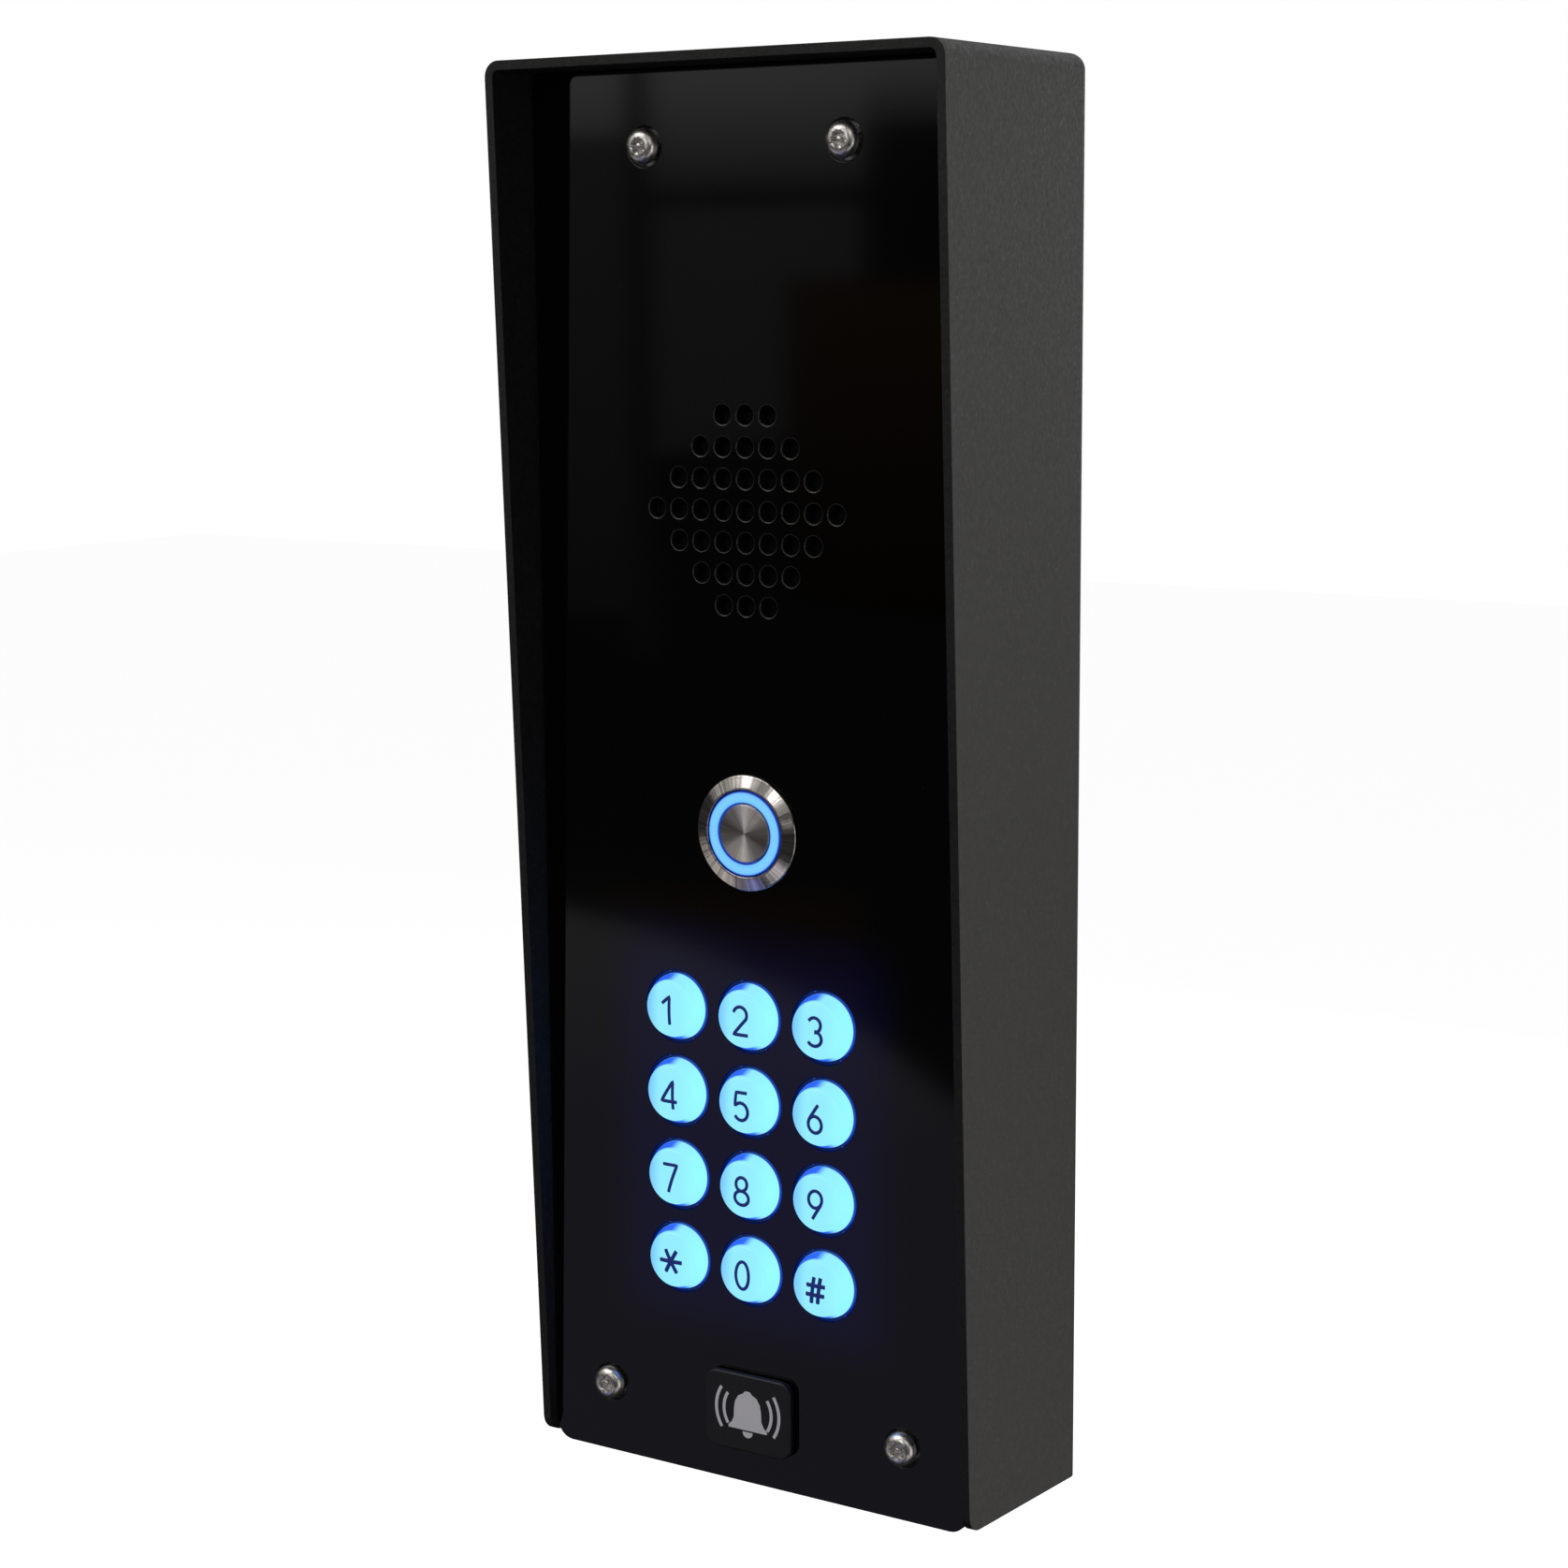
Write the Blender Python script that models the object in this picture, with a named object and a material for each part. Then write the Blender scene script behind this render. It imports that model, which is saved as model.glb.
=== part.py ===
"""Wall-mounted door intercom panel: hooded steel housing, gloss fascia, call button and keypad.

Metres, +Z up. The wall is at y = 0 and the panel faces -Y. The origin lies on the housing's
back face, half way down the 305 mm box. "Depth" below is counted inward from the fascia's
front face, so a negative depth stands proud of the fascia.
"""
import math

import bmesh
import bpy
from mathutils import Matrix, Vector

GAP = 0.0003                 # space left between pieces that touch
OVERCUT = 0.002              # how far a cutter runs past the faces it goes through

# Housing: folded sheet steel
WIDTH = 0.112
HEIGHT = 0.305
SHEET = 0.002
FASCIA_DEPTH = 0.046         # wall to the fascia's front face
HOOD_TOP = 0.0137            # how far the side walls stand past the fascia, top and bottom
HOOD_BOTTOM = 0.0022
SKIRT_DROP = 0.0025          # how far the side walls reach below the floor at the wall
BEND_RADIUS = 0.0035
NOSE_RADIUS = 0.004          # rounded lower front corners of the side walls
BEND_STEPS = 4
TOP_TAB = (0.040, 0.126)     # fixing tabs behind the panel: half width, free edge's height
BOTTOM_TAB = (0.050, -0.129)

# Panel stack, front to back
FASCIA_THICK = 0.003
FASCIA_DROP = 0.0015         # fascia's overhang below the side walls
FASCIA_CORNER = 0.004
FASCIA_TOP_CORNER = 0.001
PLATE_THICK = 0.002
PLATE_CORNER = 0.002
GASKET_THICK = 0.0012
GASKET_WIDTH = 0.005
GASKET_CORNER = 0.003
TAB_THICK = 0.002

# Screws that hold the panel
SCREW_TOP = (0.0247, 0.1345)
SCREW_BOTTOM = (0.0382, -0.1378)
SCREW_HEAD_R = 0.0038
SCREW_SHOULDER_R = 0.0029
SCREW_SHANK_R = 0.0019
SCREW_PROUD = 0.0025
SCREW_END_DEPTH = 0.0115
SCREW_WINDOW_R = 0.00455     # clearance hole in the fascia around each head

# Speaker grille: a diamond of holes on a rectangular grid
GRILLE_Z = 0.0592
GRILLE_PITCH_X = 0.00563
GRILLE_PITCH_Z = 0.00665
GRILLE_HOLE_R = 0.00225
GRILLE_ROWS = (3, 5, 7, 9, 7, 5, 3)
SPEAKER_R = 0.027
SPEAKER_WINDOW_R = 0.0245    # hole in the backing plate
CLOTH_R = 0.024
CLOTH_THICK = 0.0004

# Call button: 22 mm panel switch with a 25 mm head
CALL_Z = -0.0089
CALL_HEAD_R = 0.0125
CALL_BARREL_R = 0.0108
CALL_BORE_R = 0.0094
CALL_CAP_R = 0.0063
CALL_HOLE_R = 0.0112
CALL_SEAL_SEAT = (0.0122, 0.001)   # radius and depth of the step cut for the seal
CALL_BARREL_END = 0.0275     # depths along the switch body
CALL_SHOULDER = 0.0185
CALL_SHOULDER_THICK = 0.0015
CALL_STEM_R = 0.003
CALL_STEM_END = 0.0145
CALL_NUT_R = 0.0135          # half the distance across its flats
CALL_NUT_THICK = 0.004

# Keypad
KEY_PITCH_X = 0.01885
KEY_PITCH_Z = 0.0188
KEY_TOP_Z = -0.0489
KEY_HOLE_R = 0.0082
KEY_PROUD = 0.0037           # top of the domed face
KEY_DOME = 0.0007            # how far the face falls from its middle to its rim
KEY_FACE_R = 0.0058
KEY_ROUND = 0.0006           # softened edge around the face
KEY_BASE_R = 0.0073          # where the tapered side meets the fascia
KEY_SHOULDER = (0.0078, 0.0008)    # wider part inside the hole: radius, depth of its step
KEY_FLANGE = (0.0087, 0.001)       # flange that keeps the key in: radius, thickness
KEY_PLUNGER_R = 0.0022
KEY_TRAVEL = 0.0012
KEY_NAMES = (("1", "2", "3"), ("4", "5", "6"), ("7", "8", "9"), ("star", "0", "hash"))

# Badge
BADGE_Z = -0.1374
BADGE_SIZE = (0.022, 0.0175)
BADGE_THICK = 0.0017
BADGE_CORNER = 0.0028
BADGE_EDGE = 0.0003

# Back plate holes
WALL_HOLE = (0.040, 0.115)
WALL_HOLE_R = 0.0032
CABLE_Z = -0.095
CABLE_HOLE_R = 0.010
GROMMET_BORE_R = 0.006
GROMMET_FLANGE_R = 0.0125
GROMMET_LIP = 0.0006         # rounded lip at the inner end of its bore
MIC_Y = -0.020
MIC_PORT_R = 0.0015

# Main board
BOARD_X = 0.036
BOARD_Z = (0.020, 0.112)
BOARD_THICK = 0.0016
BOARD_LIFT = 0.006
BOARD_CORNER = 0.002
BOARD_FIXING = (0.031, 0.006)  # fixing holes: half spacing in x, inset from the board's ends
BOARD_HOLE_R = 0.0016
POLE_PITCH = 0.005           # terminal blocks
TERMINAL_DEPTH = 0.010
TERMINAL_Z = (0.004, 0.012)  # above the board's lower edge

# Keypad board and mat
KEYPAD_BOARD_DEPTH = 0.0109
KEYPAD_BOARD_HALF = (0.031, 0.0395)
KEY_MAT_HALF = (0.0254, 0.0372)
KEY_MAT_THICK = 0.0014
KEYPAD_POST_SPOT = (0.0282, 0.0368)
KEYPAD_POST_R = 0.0022

FASCIA_Y = -FASCIA_DEPTH
INNER_X = WIDTH / 2 - SHEET
TOP_Z = HEIGHT / 2
INNER_Z = TOP_Z - SHEET
PLATE_DEPTH = FASCIA_THICK + GAP
PLATE_BACK_DEPTH = PLATE_DEPTH + PLATE_THICK
GASKET_DEPTH = PLATE_BACK_DEPTH + GAP
TAB_DEPTH = GASKET_DEPTH + GASKET_THICK + GAP
BOARD_FRONT_Y = -SHEET - GAP - BOARD_LIFT - BOARD_THICK
SCREW_SPOTS = (
    (-SCREW_TOP[0], SCREW_TOP[1]), SCREW_TOP, (-SCREW_BOTTOM[0], SCREW_BOTTOM[1]), SCREW_BOTTOM)


# ---------------------------------------------------------------- shapes

def clear_scene():
    for old in list(bpy.data.objects):
        bpy.data.objects.remove(old, do_unlink=True)


def material(name, colour, roughness, metallic=0.0):
    mat = bpy.data.materials.new(name)
    mat.use_nodes = True
    shader = mat.node_tree.nodes["Principled BSDF"]
    shader.inputs["Base Color"].default_value = (*colour, 1.0)
    shader.inputs["Roughness"].default_value = roughness
    shader.inputs["Metallic"].default_value = metallic
    return mat


def add_object(name, bm, mat, location=(0, 0, 0), smooth=False):
    """Turn a bmesh into a named object."""
    bmesh.ops.recalc_face_normals(bm, faces=bm.faces[:])
    mesh = bpy.data.meshes.new(name)
    bm.to_mesh(mesh)
    bm.free()
    if smooth:
        mesh.shade_smooth()
        mesh.set_sharp_from_angle(angle=math.radians(35))
    if mat:
        mesh.materials.append(mat)
    obj = bpy.data.objects.new(name, mesh)
    obj.location = location
    bpy.context.scene.collection.objects.link(obj)
    return obj


def box_mesh(bm, low, high):
    size = Vector(high) - Vector(low)
    middle = (Vector(high) + Vector(low)) / 2
    place = Matrix.Translation(middle) @ Matrix.Diagonal((*size, 1.0))
    return bmesh.ops.create_cube(bm, size=1.0, matrix=place)["verts"]


def box(name, low, high, mat, location=(0, 0, 0)):
    bm = bmesh.new()
    box_mesh(bm, low, high)
    return add_object(name, bm, mat, location)


def rounded_plate(name, half_x, z_low, z_high, y_front, y_back, radius, mat, location=(0, 0, 0),
                  top_radius=None):
    """A flat plate with rounded corners, seen from the front; the upper two may differ."""
    bm = bmesh.new()
    box_mesh(bm, (-half_x, y_front, z_low), (half_x, y_back, z_high))
    half_way = (z_low + z_high) / 2
    for upper, corner_r in ((True, top_radius or radius), (False, radius)):
        corners = [e for e in bm.edges if abs(e.verts[0].co.y - e.verts[1].co.y) > 1e-6
                   and (e.verts[0].co.z > half_way) == upper]
        bmesh.ops.bevel(bm, geom=corners, offset=corner_r, offset_type="OFFSET",
                        segments=BEND_STEPS, profile=0.5, affect="EDGES")
    return add_object(name, bm, mat, location)


def lathe(name, profile, steps, mat, location=(0, 0, 0), axis="Y"):
    """Turn (radius, distance along the axis) points into a round piece.

    A profile that starts and ends on the axis is solid; any other is closed into a ring.
    """
    bm = bmesh.new()
    along_y = axis == "Y"
    points = [(r, d, 0.0) if along_y else (r, 0.0, d) for r, d in profile]
    verts = [bm.verts.new(p) for p in points]
    pairs = list(zip(verts, verts[1:]))
    if profile[0][0] > 0:
        pairs.append((verts[-1], verts[0]))
    edges = [bm.edges.new(pair) for pair in pairs]
    bmesh.ops.spin(bm, geom=verts + edges, cent=(0, 0, 0), axis=(0, 1, 0) if along_y else (0, 0, 1),
                   dvec=(0, 0, 0), angle=2 * math.pi, steps=steps, use_merge=True,
                   use_duplicate=False)
    bmesh.ops.remove_doubles(bm, verts=bm.verts[:], dist=1e-6)
    return add_object(name, bm, mat, location, smooth=True)


def prism_mesh(bm, outline, x_low, x_high):
    """Extrude a (y, z) outline along X."""
    verts = [bm.verts.new((x_low, y, z)) for y, z in outline]
    face = bm.faces.new(verts)
    side = bmesh.ops.extrude_face_region(bm, geom=[face])["geom"]
    moved = [g for g in side if isinstance(g, bmesh.types.BMVert)]
    bmesh.ops.translate(bm, verts=moved, vec=(x_high - x_low, 0, 0))


def as_tool(obj):
    obj.hide_render = True
    obj.display_type = "WIRE"
    return obj


def combine(obj, tool, operation):
    """Add a Boolean that cuts the tool from the object or joins it on."""
    mod = obj.modifiers.new(tool.name, "BOOLEAN")
    mod.operation = operation
    mod.object = as_tool(tool)


def drill(name, spots, radius, y_low, y_high, steps):
    """Round cutters along Y at each (x, z)."""
    bm = bmesh.new()
    turn = Matrix.Rotation(math.radians(90), 4, "X")
    for x, z in spots:
        place = Matrix.Translation((x, (y_low + y_high) / 2, z)) @ turn
        bmesh.ops.create_cone(bm, cap_ends=True, segments=steps, radius1=radius, radius2=radius,
                              depth=y_high - y_low, matrix=place)
    return add_object(name, bm, None)


def bevel_edges(bm, radius, wanted):
    """Round the edges whose two end points both satisfy one of the wanted tests."""
    chosen = [e for e in bm.edges if any(all(test(v.co) for v in e.verts) for test in wanted)]
    bmesh.ops.bevel(bm, geom=chosen, offset=radius, offset_type="OFFSET", segments=BEND_STEPS,
                    profile=0.5, affect="EDGES")


def near(a, b):
    return abs(a - b) < 1e-5


# ---------------------------------------------------------------- housing

def fold_tests(half_x, back_y, high_z):
    """The folded edges of the box: both uprights at the back and the roof's three folds."""
    return [
        lambda p: near(p.x, half_x) and near(p.y, back_y),
        lambda p: near(p.x, -half_x) and near(p.y, back_y),
        lambda p: near(p.x, half_x) and near(p.z, high_z),
        lambda p: near(p.x, -half_x) and near(p.z, high_z),
        lambda p: near(p.y, back_y) and near(p.z, high_z),
    ]


def hood_housing(paint):
    """Back, side walls, roof and floor in one shell whose front edge tapers to the bottom."""
    nose_y = FASCIA_Y - HOOD_BOTTOM
    bm = bmesh.new()
    prism_mesh(bm, [(0, -TOP_Z - SKIRT_DROP), (0, TOP_Z), (FASCIA_Y - HOOD_TOP, TOP_Z),
                    (nose_y, -TOP_Z)], -WIDTH / 2, WIDTH / 2)
    bevel_edges(bm, BEND_RADIUS, fold_tests(WIDTH / 2, 0, TOP_Z))
    bevel_edges(bm, NOSE_RADIUS, [lambda p: near(p.y, nose_y) and near(p.z, -TOP_Z)])
    shell = add_object("hood_housing", bm, paint, smooth=True)

    tab_y = FASCIA_Y + TAB_DEPTH
    past_front = FASCIA_Y - 2 * HOOD_TOP
    past_back = SHEET
    past_floor = -TOP_Z - 2 * SKIRT_DROP
    bm = bmesh.new()
    prism_mesh(bm, [(-SHEET, -INNER_Z), (-SHEET, INNER_Z), (past_front, INNER_Z),
                    (past_front, past_floor), (past_back, past_floor), (past_back, -TOP_Z),
                    (tab_y, -TOP_Z), (tab_y, -INNER_Z)], -INNER_X, INNER_X)
    bevel_edges(bm, BEND_RADIUS - SHEET, fold_tests(INNER_X, -SHEET, INNER_Z))
    combine(shell, add_object("cavity_cutter", bm, None), "DIFFERENCE")

    tabs = (("top_tab", TOP_TAB[0], TOP_TAB[1], INNER_Z + SHEET / 2),
            ("bottom_tab", BOTTOM_TAB[0], -INNER_Z - SHEET / 2, BOTTOM_TAB[1]))
    for name, half_x, z_low, z_high in tabs:
        tab = box(name, (-half_x, tab_y, z_low), (half_x, tab_y + TAB_THICK, z_high), None)
        combine(shell, tab, "UNION")
    holes = drill("tab_holes", SCREW_SPOTS, SCREW_SHANK_R + GAP, tab_y - OVERCUT,
                  tab_y + TAB_THICK + OVERCUT, 12)
    combine(shell, holes, "DIFFERENCE")

    wall_spots = [(x * WALL_HOLE[0], z * WALL_HOLE[1]) for x in (-1, 1) for z in (-1, 1)]
    y_low, y_high = -SHEET - OVERCUT, OVERCUT
    combine(shell, drill("wall_holes", wall_spots, WALL_HOLE_R, y_low, y_high, 16), "DIFFERENCE")
    cable = drill("cable_hole", [(0, CABLE_Z)], CABLE_HOLE_R, y_low, y_high, 24)
    combine(shell, cable, "DIFFERENCE")
    reach = SHEET / 2 + OVERCUT
    port = lathe("mic_port", [(0, -reach), (MIC_PORT_R, -reach), (MIC_PORT_R, reach), (0, reach)],
                 12, None, (0, MIC_Y, -TOP_Z + SHEET / 2), axis="Z")
    combine(shell, port, "DIFFERENCE")
    return shell


def cable_grommet(rubber):
    """Rubber bush for the supply cable: flange inside the box, flush with the wall face."""
    bore, waist, flange = GROMMET_BORE_R, CABLE_HOLE_R - GAP, GROMMET_FLANGE_R
    outside, seat = -GAP, -SHEET - GAP
    inside = seat - 0.0015
    lathe("cable_grommet", [(bore, outside), (waist, outside), (waist, seat), (flange, seat),
                            (flange, inside), (bore + 2 * GROMMET_LIP, inside - GROMMET_LIP),
                            (bore, inside)], 20, rubber, (0, 0, CABLE_Z))


# ---------------------------------------------------------------- front panel

def grille_spots():
    """Hole centres of the diamond-shaped grille."""
    spots = []
    middle = (len(GRILLE_ROWS) - 1) / 2
    for row, count in enumerate(GRILLE_ROWS):
        z = GRILLE_Z + (middle - row) * GRILLE_PITCH_Z
        spots += [((i - (count - 1) / 2) * GRILLE_PITCH_X, z) for i in range(count)]
    return spots


def key_spots():
    """Key name and centre, row by row."""
    return [("key_" + label, (col - 1) * KEY_PITCH_X, KEY_TOP_Z - row * KEY_PITCH_Z)
            for row, labels in enumerate(KEY_NAMES) for col, label in enumerate(labels)]


def gloss_fascia(acrylic):
    front, back = FASCIA_Y, FASCIA_Y + FASCIA_THICK
    sheet = rounded_plate("gloss_fascia", INNER_X - GAP, -TOP_Z - FASCIA_DROP, INNER_Z - GAP,
                          front, back, FASCIA_CORNER, acrylic, top_radius=FASCIA_TOP_CORNER)
    y_low, y_high = front - OVERCUT, back + OVERCUT
    key_centres = [(x, z) for _, x, z in key_spots()]
    seat_r, seat_depth = CALL_SEAL_SEAT
    cuts = (
        drill("fascia_grille", grille_spots(), GRILLE_HOLE_R, y_low, y_high, 10),
        drill("fascia_keys", key_centres, KEY_HOLE_R, y_low, y_high, 20),
        drill("fascia_screws", SCREW_SPOTS, SCREW_WINDOW_R, y_low, y_high, 16),
        drill("fascia_call", [(0, CALL_Z)], CALL_HOLE_R, y_low, y_high, 32),
        drill("fascia_seal_seat", [(0, CALL_Z)], seat_r, y_low, front + seat_depth, 32),
    )
    for cutter in cuts:
        combine(sheet, cutter, "DIFFERENCE")


def backing_plate(steel):
    """Stiffening plate behind the acrylic, with one window for the speaker."""
    front = FASCIA_Y + PLATE_DEPTH
    back = front + PLATE_THICK
    plate = rounded_plate("backing_plate", INNER_X - 2 * GAP, -INNER_Z, INNER_Z - 2 * GAP,
                          front, back, PLATE_CORNER, steel)
    y_low, y_high = front - OVERCUT, back + OVERCUT
    key_centres = [(x, z) for _, x, z in key_spots()]
    cuts = (
        drill("plate_speaker", [(0, GRILLE_Z)], SPEAKER_WINDOW_R, y_low, y_high, 32),
        drill("plate_keys", key_centres, KEY_HOLE_R, y_low, y_high, 16),
        drill("plate_screws", SCREW_SPOTS, SCREW_SHANK_R + GAP, y_low, y_high, 12),
        drill("plate_call", [(0, CALL_Z)], CALL_HOLE_R, y_low, y_high, 32),
    )
    for cutter in cuts:
        combine(plate, cutter, "DIFFERENCE")


def panel_gasket(foam):
    """Foam frame between the backing plate and the housing's tabs."""
    front = FASCIA_Y + GASKET_DEPTH
    back = front + GASKET_THICK
    outer_x, outer_z = INNER_X - 2 * GAP, INNER_Z - 2 * GAP
    inner_x, inner_z = outer_x - GASKET_WIDTH, outer_z - GASKET_WIDTH
    frame = rounded_plate("panel_gasket", outer_x, -outer_z, outer_z, front, back, GASKET_CORNER,
                          foam)
    window = box("gasket_window", (-inner_x, front - OVERCUT, -inner_z),
                 (inner_x, back + OVERCUT, inner_z), None)
    combine(frame, window, "DIFFERENCE")


def badge(plastic):
    """Raised plaque near the bottom of the fascia."""
    half_x, half_z = BADGE_SIZE[0] / 2, BADGE_SIZE[1] / 2
    bm = bmesh.new()
    box_mesh(bm, (-half_x, -GAP - BADGE_THICK, -half_z), (half_x, -GAP, half_z))
    corners = [e for e in bm.edges if abs(e.verts[0].co.y - e.verts[1].co.y) > 1e-6]
    bmesh.ops.bevel(bm, geom=corners, offset=BADGE_CORNER, offset_type="OFFSET",
                    segments=BEND_STEPS, profile=0.5, affect="EDGES")
    bevel_edges(bm, BADGE_EDGE, [lambda p: near(p.y, -GAP - BADGE_THICK)])
    add_object("badge", bm, plastic, (0, FASCIA_Y, BADGE_Z), smooth=True)


def panel_screws(steel):
    """Button-head screws: a shoulder keeps each head proud of the acrylic."""
    seat = PLATE_DEPTH - GAP
    top, brow, rim = -SCREW_PROUD, -0.0016, -0.0004
    flat_r, brow_r = 0.0021, 0.0033
    socket, socket_floor = 0.0013, top + 0.0012
    profile = [(0, socket_floor), (socket, socket_floor), (socket, top), (flat_r, top),
               (brow_r, brow), (SCREW_HEAD_R, rim), (SCREW_SHOULDER_R, rim),
               (SCREW_SHOULDER_R, seat), (SCREW_SHANK_R, seat),
               (SCREW_SHANK_R, SCREW_END_DEPTH), (0, SCREW_END_DEPTH)]
    for number, (x, z) in enumerate(SCREW_SPOTS, start=1):
        lathe(f"panel_screw_{number}", profile, 16, steel, (x, FASCIA_Y, z))


# ---------------------------------------------------------------- call button

def call_bezel(steel, spot):
    """Bevelled head and the barrel behind it, closed by a shoulder with a hole for the stem."""
    inner_lip, outer_lip = -0.0015, -0.0006
    bevel_in, bevel_out = (0.0096, -0.0016), (0.0121, -0.0008)
    ledge = CALL_SHOULDER + CALL_SHOULDER_THICK
    stem_hole = CALL_STEM_R + 2 * GAP
    lathe("call_bezel", [
        (CALL_BORE_R, inner_lip), bevel_in, bevel_out, (CALL_HEAD_R, outer_lip),
        (CALL_HEAD_R, -GAP), (CALL_BARREL_R, -GAP), (CALL_BARREL_R, CALL_BARREL_END),
        (CALL_BORE_R, CALL_BARREL_END), (CALL_BORE_R, ledge), (stem_hole, ledge),
        (stem_hole, CALL_SHOULDER), (CALL_BORE_R, CALL_SHOULDER)], 32, steel, spot)


def call_cap_and_ring(steel, lens, spring_steel, spot):
    """The moving cap, the ring light fixed round its neck, and the spring behind its collar."""
    slider = CALL_BORE_R - GAP
    neck, ring_r = CALL_CAP_R, CALL_CAP_R + GAP
    collar, collar_end = 0.0018, 0.006
    face, edge_top, edge = -0.0014, -0.0015, -0.0013
    soft = 0.0004
    lathe("call_cap", [
        (0, face), (neck - soft, edge_top), (neck, edge), (neck, collar), (slider, collar),
        (slider, collar_end), (CALL_STEM_R, collar_end), (CALL_STEM_R, CALL_STEM_END),
        (0, CALL_STEM_END)], 32, steel, spot)
    lathe("call_ring", [(ring_r, edge_top), (slider - soft, edge_top), (slider, edge),
                        (slider, collar - GAP), (ring_r, collar - GAP)], 32, lens, spot)
    call_spring(spot, collar_end + GAP, CALL_SHOULDER - GAP, spring_steel)


def call_fittings(rubber, brass, plastic, spot):
    """Seal under the head, nut behind the plate, and the terminal base."""
    seal_r = (CALL_BARREL_R + GAP, CALL_SEAL_SEAT[0] - GAP)
    seal_thick = CALL_SEAL_SEAT[1] - GAP
    lathe("call_seal", [(seal_r[0], 0), (seal_r[1], 0), (seal_r[1], seal_thick),
                        (seal_r[0], seal_thick)], 24, rubber, spot)

    seat = PLATE_BACK_DEPTH + GAP
    nut_end = seat + CALL_NUT_THICK
    bore, corner = CALL_BARREL_R + GAP, CALL_NUT_R / math.cos(math.pi / 6)
    nut = lathe("call_nut", [(corner, seat), (corner, nut_end), (bore, nut_end), (bore, seat)],
                6, brass, spot)
    cutter = drill("nut_bore", [(0, CALL_Z)], bore, FASCIA_Y, FASCIA_Y + 2 * nut_end, 32)
    combine(nut, cutter, "DIFFERENCE")

    base_r, base_end = 0.0095, 0.0305
    base = lathe("call_base", [(0, CALL_BARREL_END + GAP), (base_r, CALL_BARREL_END + GAP),
                               (base_r, base_end), (0, base_end)], 24, plastic, spot)
    lug_x, lug_z, lug_half, lug_length = 0.0045, 0.003, (0.0003, 0.0014), 0.003
    for side in (-1, 1):
        for height in (-1, 1):
            x, z = side * lug_x, CALL_Z + height * lug_z
            lug = box(f"lug_{side}_{height}",
                      (x - lug_half[0], FASCIA_Y + base_end - GAP, z - lug_half[1]),
                      (x + lug_half[0], FASCIA_Y + base_end + lug_length, z + lug_half[1]), None)
            combine(base, lug, "UNION")


def call_spring(spot, start, end, steel):
    """Return spring around the cap's stem, as a helical wire."""
    turns, steps_per_turn, coil_r, wire_r = 4, 10, 0.0052, 0.00045
    path = bpy.data.curves.new("call_spring", "CURVE")
    path.dimensions = "3D"
    path.bevel_depth = wire_r
    path.bevel_resolution = 1
    path.use_fill_caps = True
    spline = path.splines.new("POLY")
    count = turns * steps_per_turn
    spline.points.add(count)
    for i in range(count + 1):
        angle = 2 * math.pi * i / steps_per_turn
        depth = start + wire_r + (end - start - 2 * wire_r) * i / count
        spline.points[i].co = (coil_r * math.cos(angle), depth, coil_r * math.sin(angle), 1)
    path.materials.append(steel)
    obj = bpy.data.objects.new("call_spring", path)
    obj.location = spot
    bpy.context.scene.collection.objects.link(obj)


# ---------------------------------------------------------------- keypad

def keys(lens):
    """Translucent keys: domed, tapered button, retaining flange behind the plate, plunger."""
    top, rim = -KEY_PROUD, KEY_DOME - KEY_PROUD
    half_way = (0.55 * KEY_FACE_R, top + 0.3 * KEY_DOME)
    shoulder_r, shoulder = KEY_SHOULDER
    flange_r, flange_thick = KEY_FLANGE
    flange = PLATE_BACK_DEPTH + GAP
    flange_end = flange + flange_thick
    plunger_end = KEYPAD_BOARD_DEPTH - GAP - KEY_TRAVEL
    profile = [(0, top), half_way, (KEY_FACE_R, rim), (KEY_FACE_R + KEY_ROUND, rim + KEY_ROUND),
               (KEY_BASE_R, 0), (KEY_BASE_R, shoulder), (shoulder_r, shoulder),
               (shoulder_r, flange), (flange_r, flange), (flange_r, flange_end),
               (KEY_PLUNGER_R, flange_end), (KEY_PLUNGER_R, plunger_end), (0, plunger_end)]
    for name, x, z in key_spots():
        lathe(name, profile, 16, lens, (x, FASCIA_Y, z))


def keypad_parts(silicone, fibreglass, brass):
    mid_z = KEY_TOP_Z - 1.5 * KEY_PITCH_Z
    centres = [(x, z) for _, x, z in key_spots()]
    mat_back = KEYPAD_BOARD_DEPTH - GAP
    mat_front = mat_back - KEY_MAT_THICK
    half_x, half_z = KEY_MAT_HALF
    mat = rounded_plate("key_mat", half_x, mid_z - half_z, mid_z + half_z, FASCIA_Y + mat_front,
                        FASCIA_Y + mat_back, PLATE_CORNER, silicone)
    combine(mat, drill("mat_holes", centres, KEY_PLUNGER_R + KEY_MAT_THICK,
                       FASCIA_Y + mat_front - OVERCUT, FASCIA_Y + mat_back + OVERCUT, 8),
            "DIFFERENCE")

    board_front = FASCIA_Y + KEYPAD_BOARD_DEPTH
    half_x, half_z = KEYPAD_BOARD_HALF
    rounded_plate("keypad_board", half_x, mid_z - half_z, mid_z + half_z, board_front,
                  board_front + BOARD_THICK, BOARD_CORNER, fibreglass)
    post_front = PLATE_BACK_DEPTH + GAP
    profile = [(0, post_front), (KEYPAD_POST_R, post_front), (KEYPAD_POST_R, mat_back),
               (0, mat_back)]
    post_x, post_z = KEYPAD_POST_SPOT
    spots = [(x, z) for x in (-post_x, post_x) for z in (mid_z - post_z, mid_z + post_z)]
    for number, (x, z) in enumerate(spots, start=1):
        lathe(f"keypad_post_{number}", profile, 12, brass, (x, FASCIA_Y, z))


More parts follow.
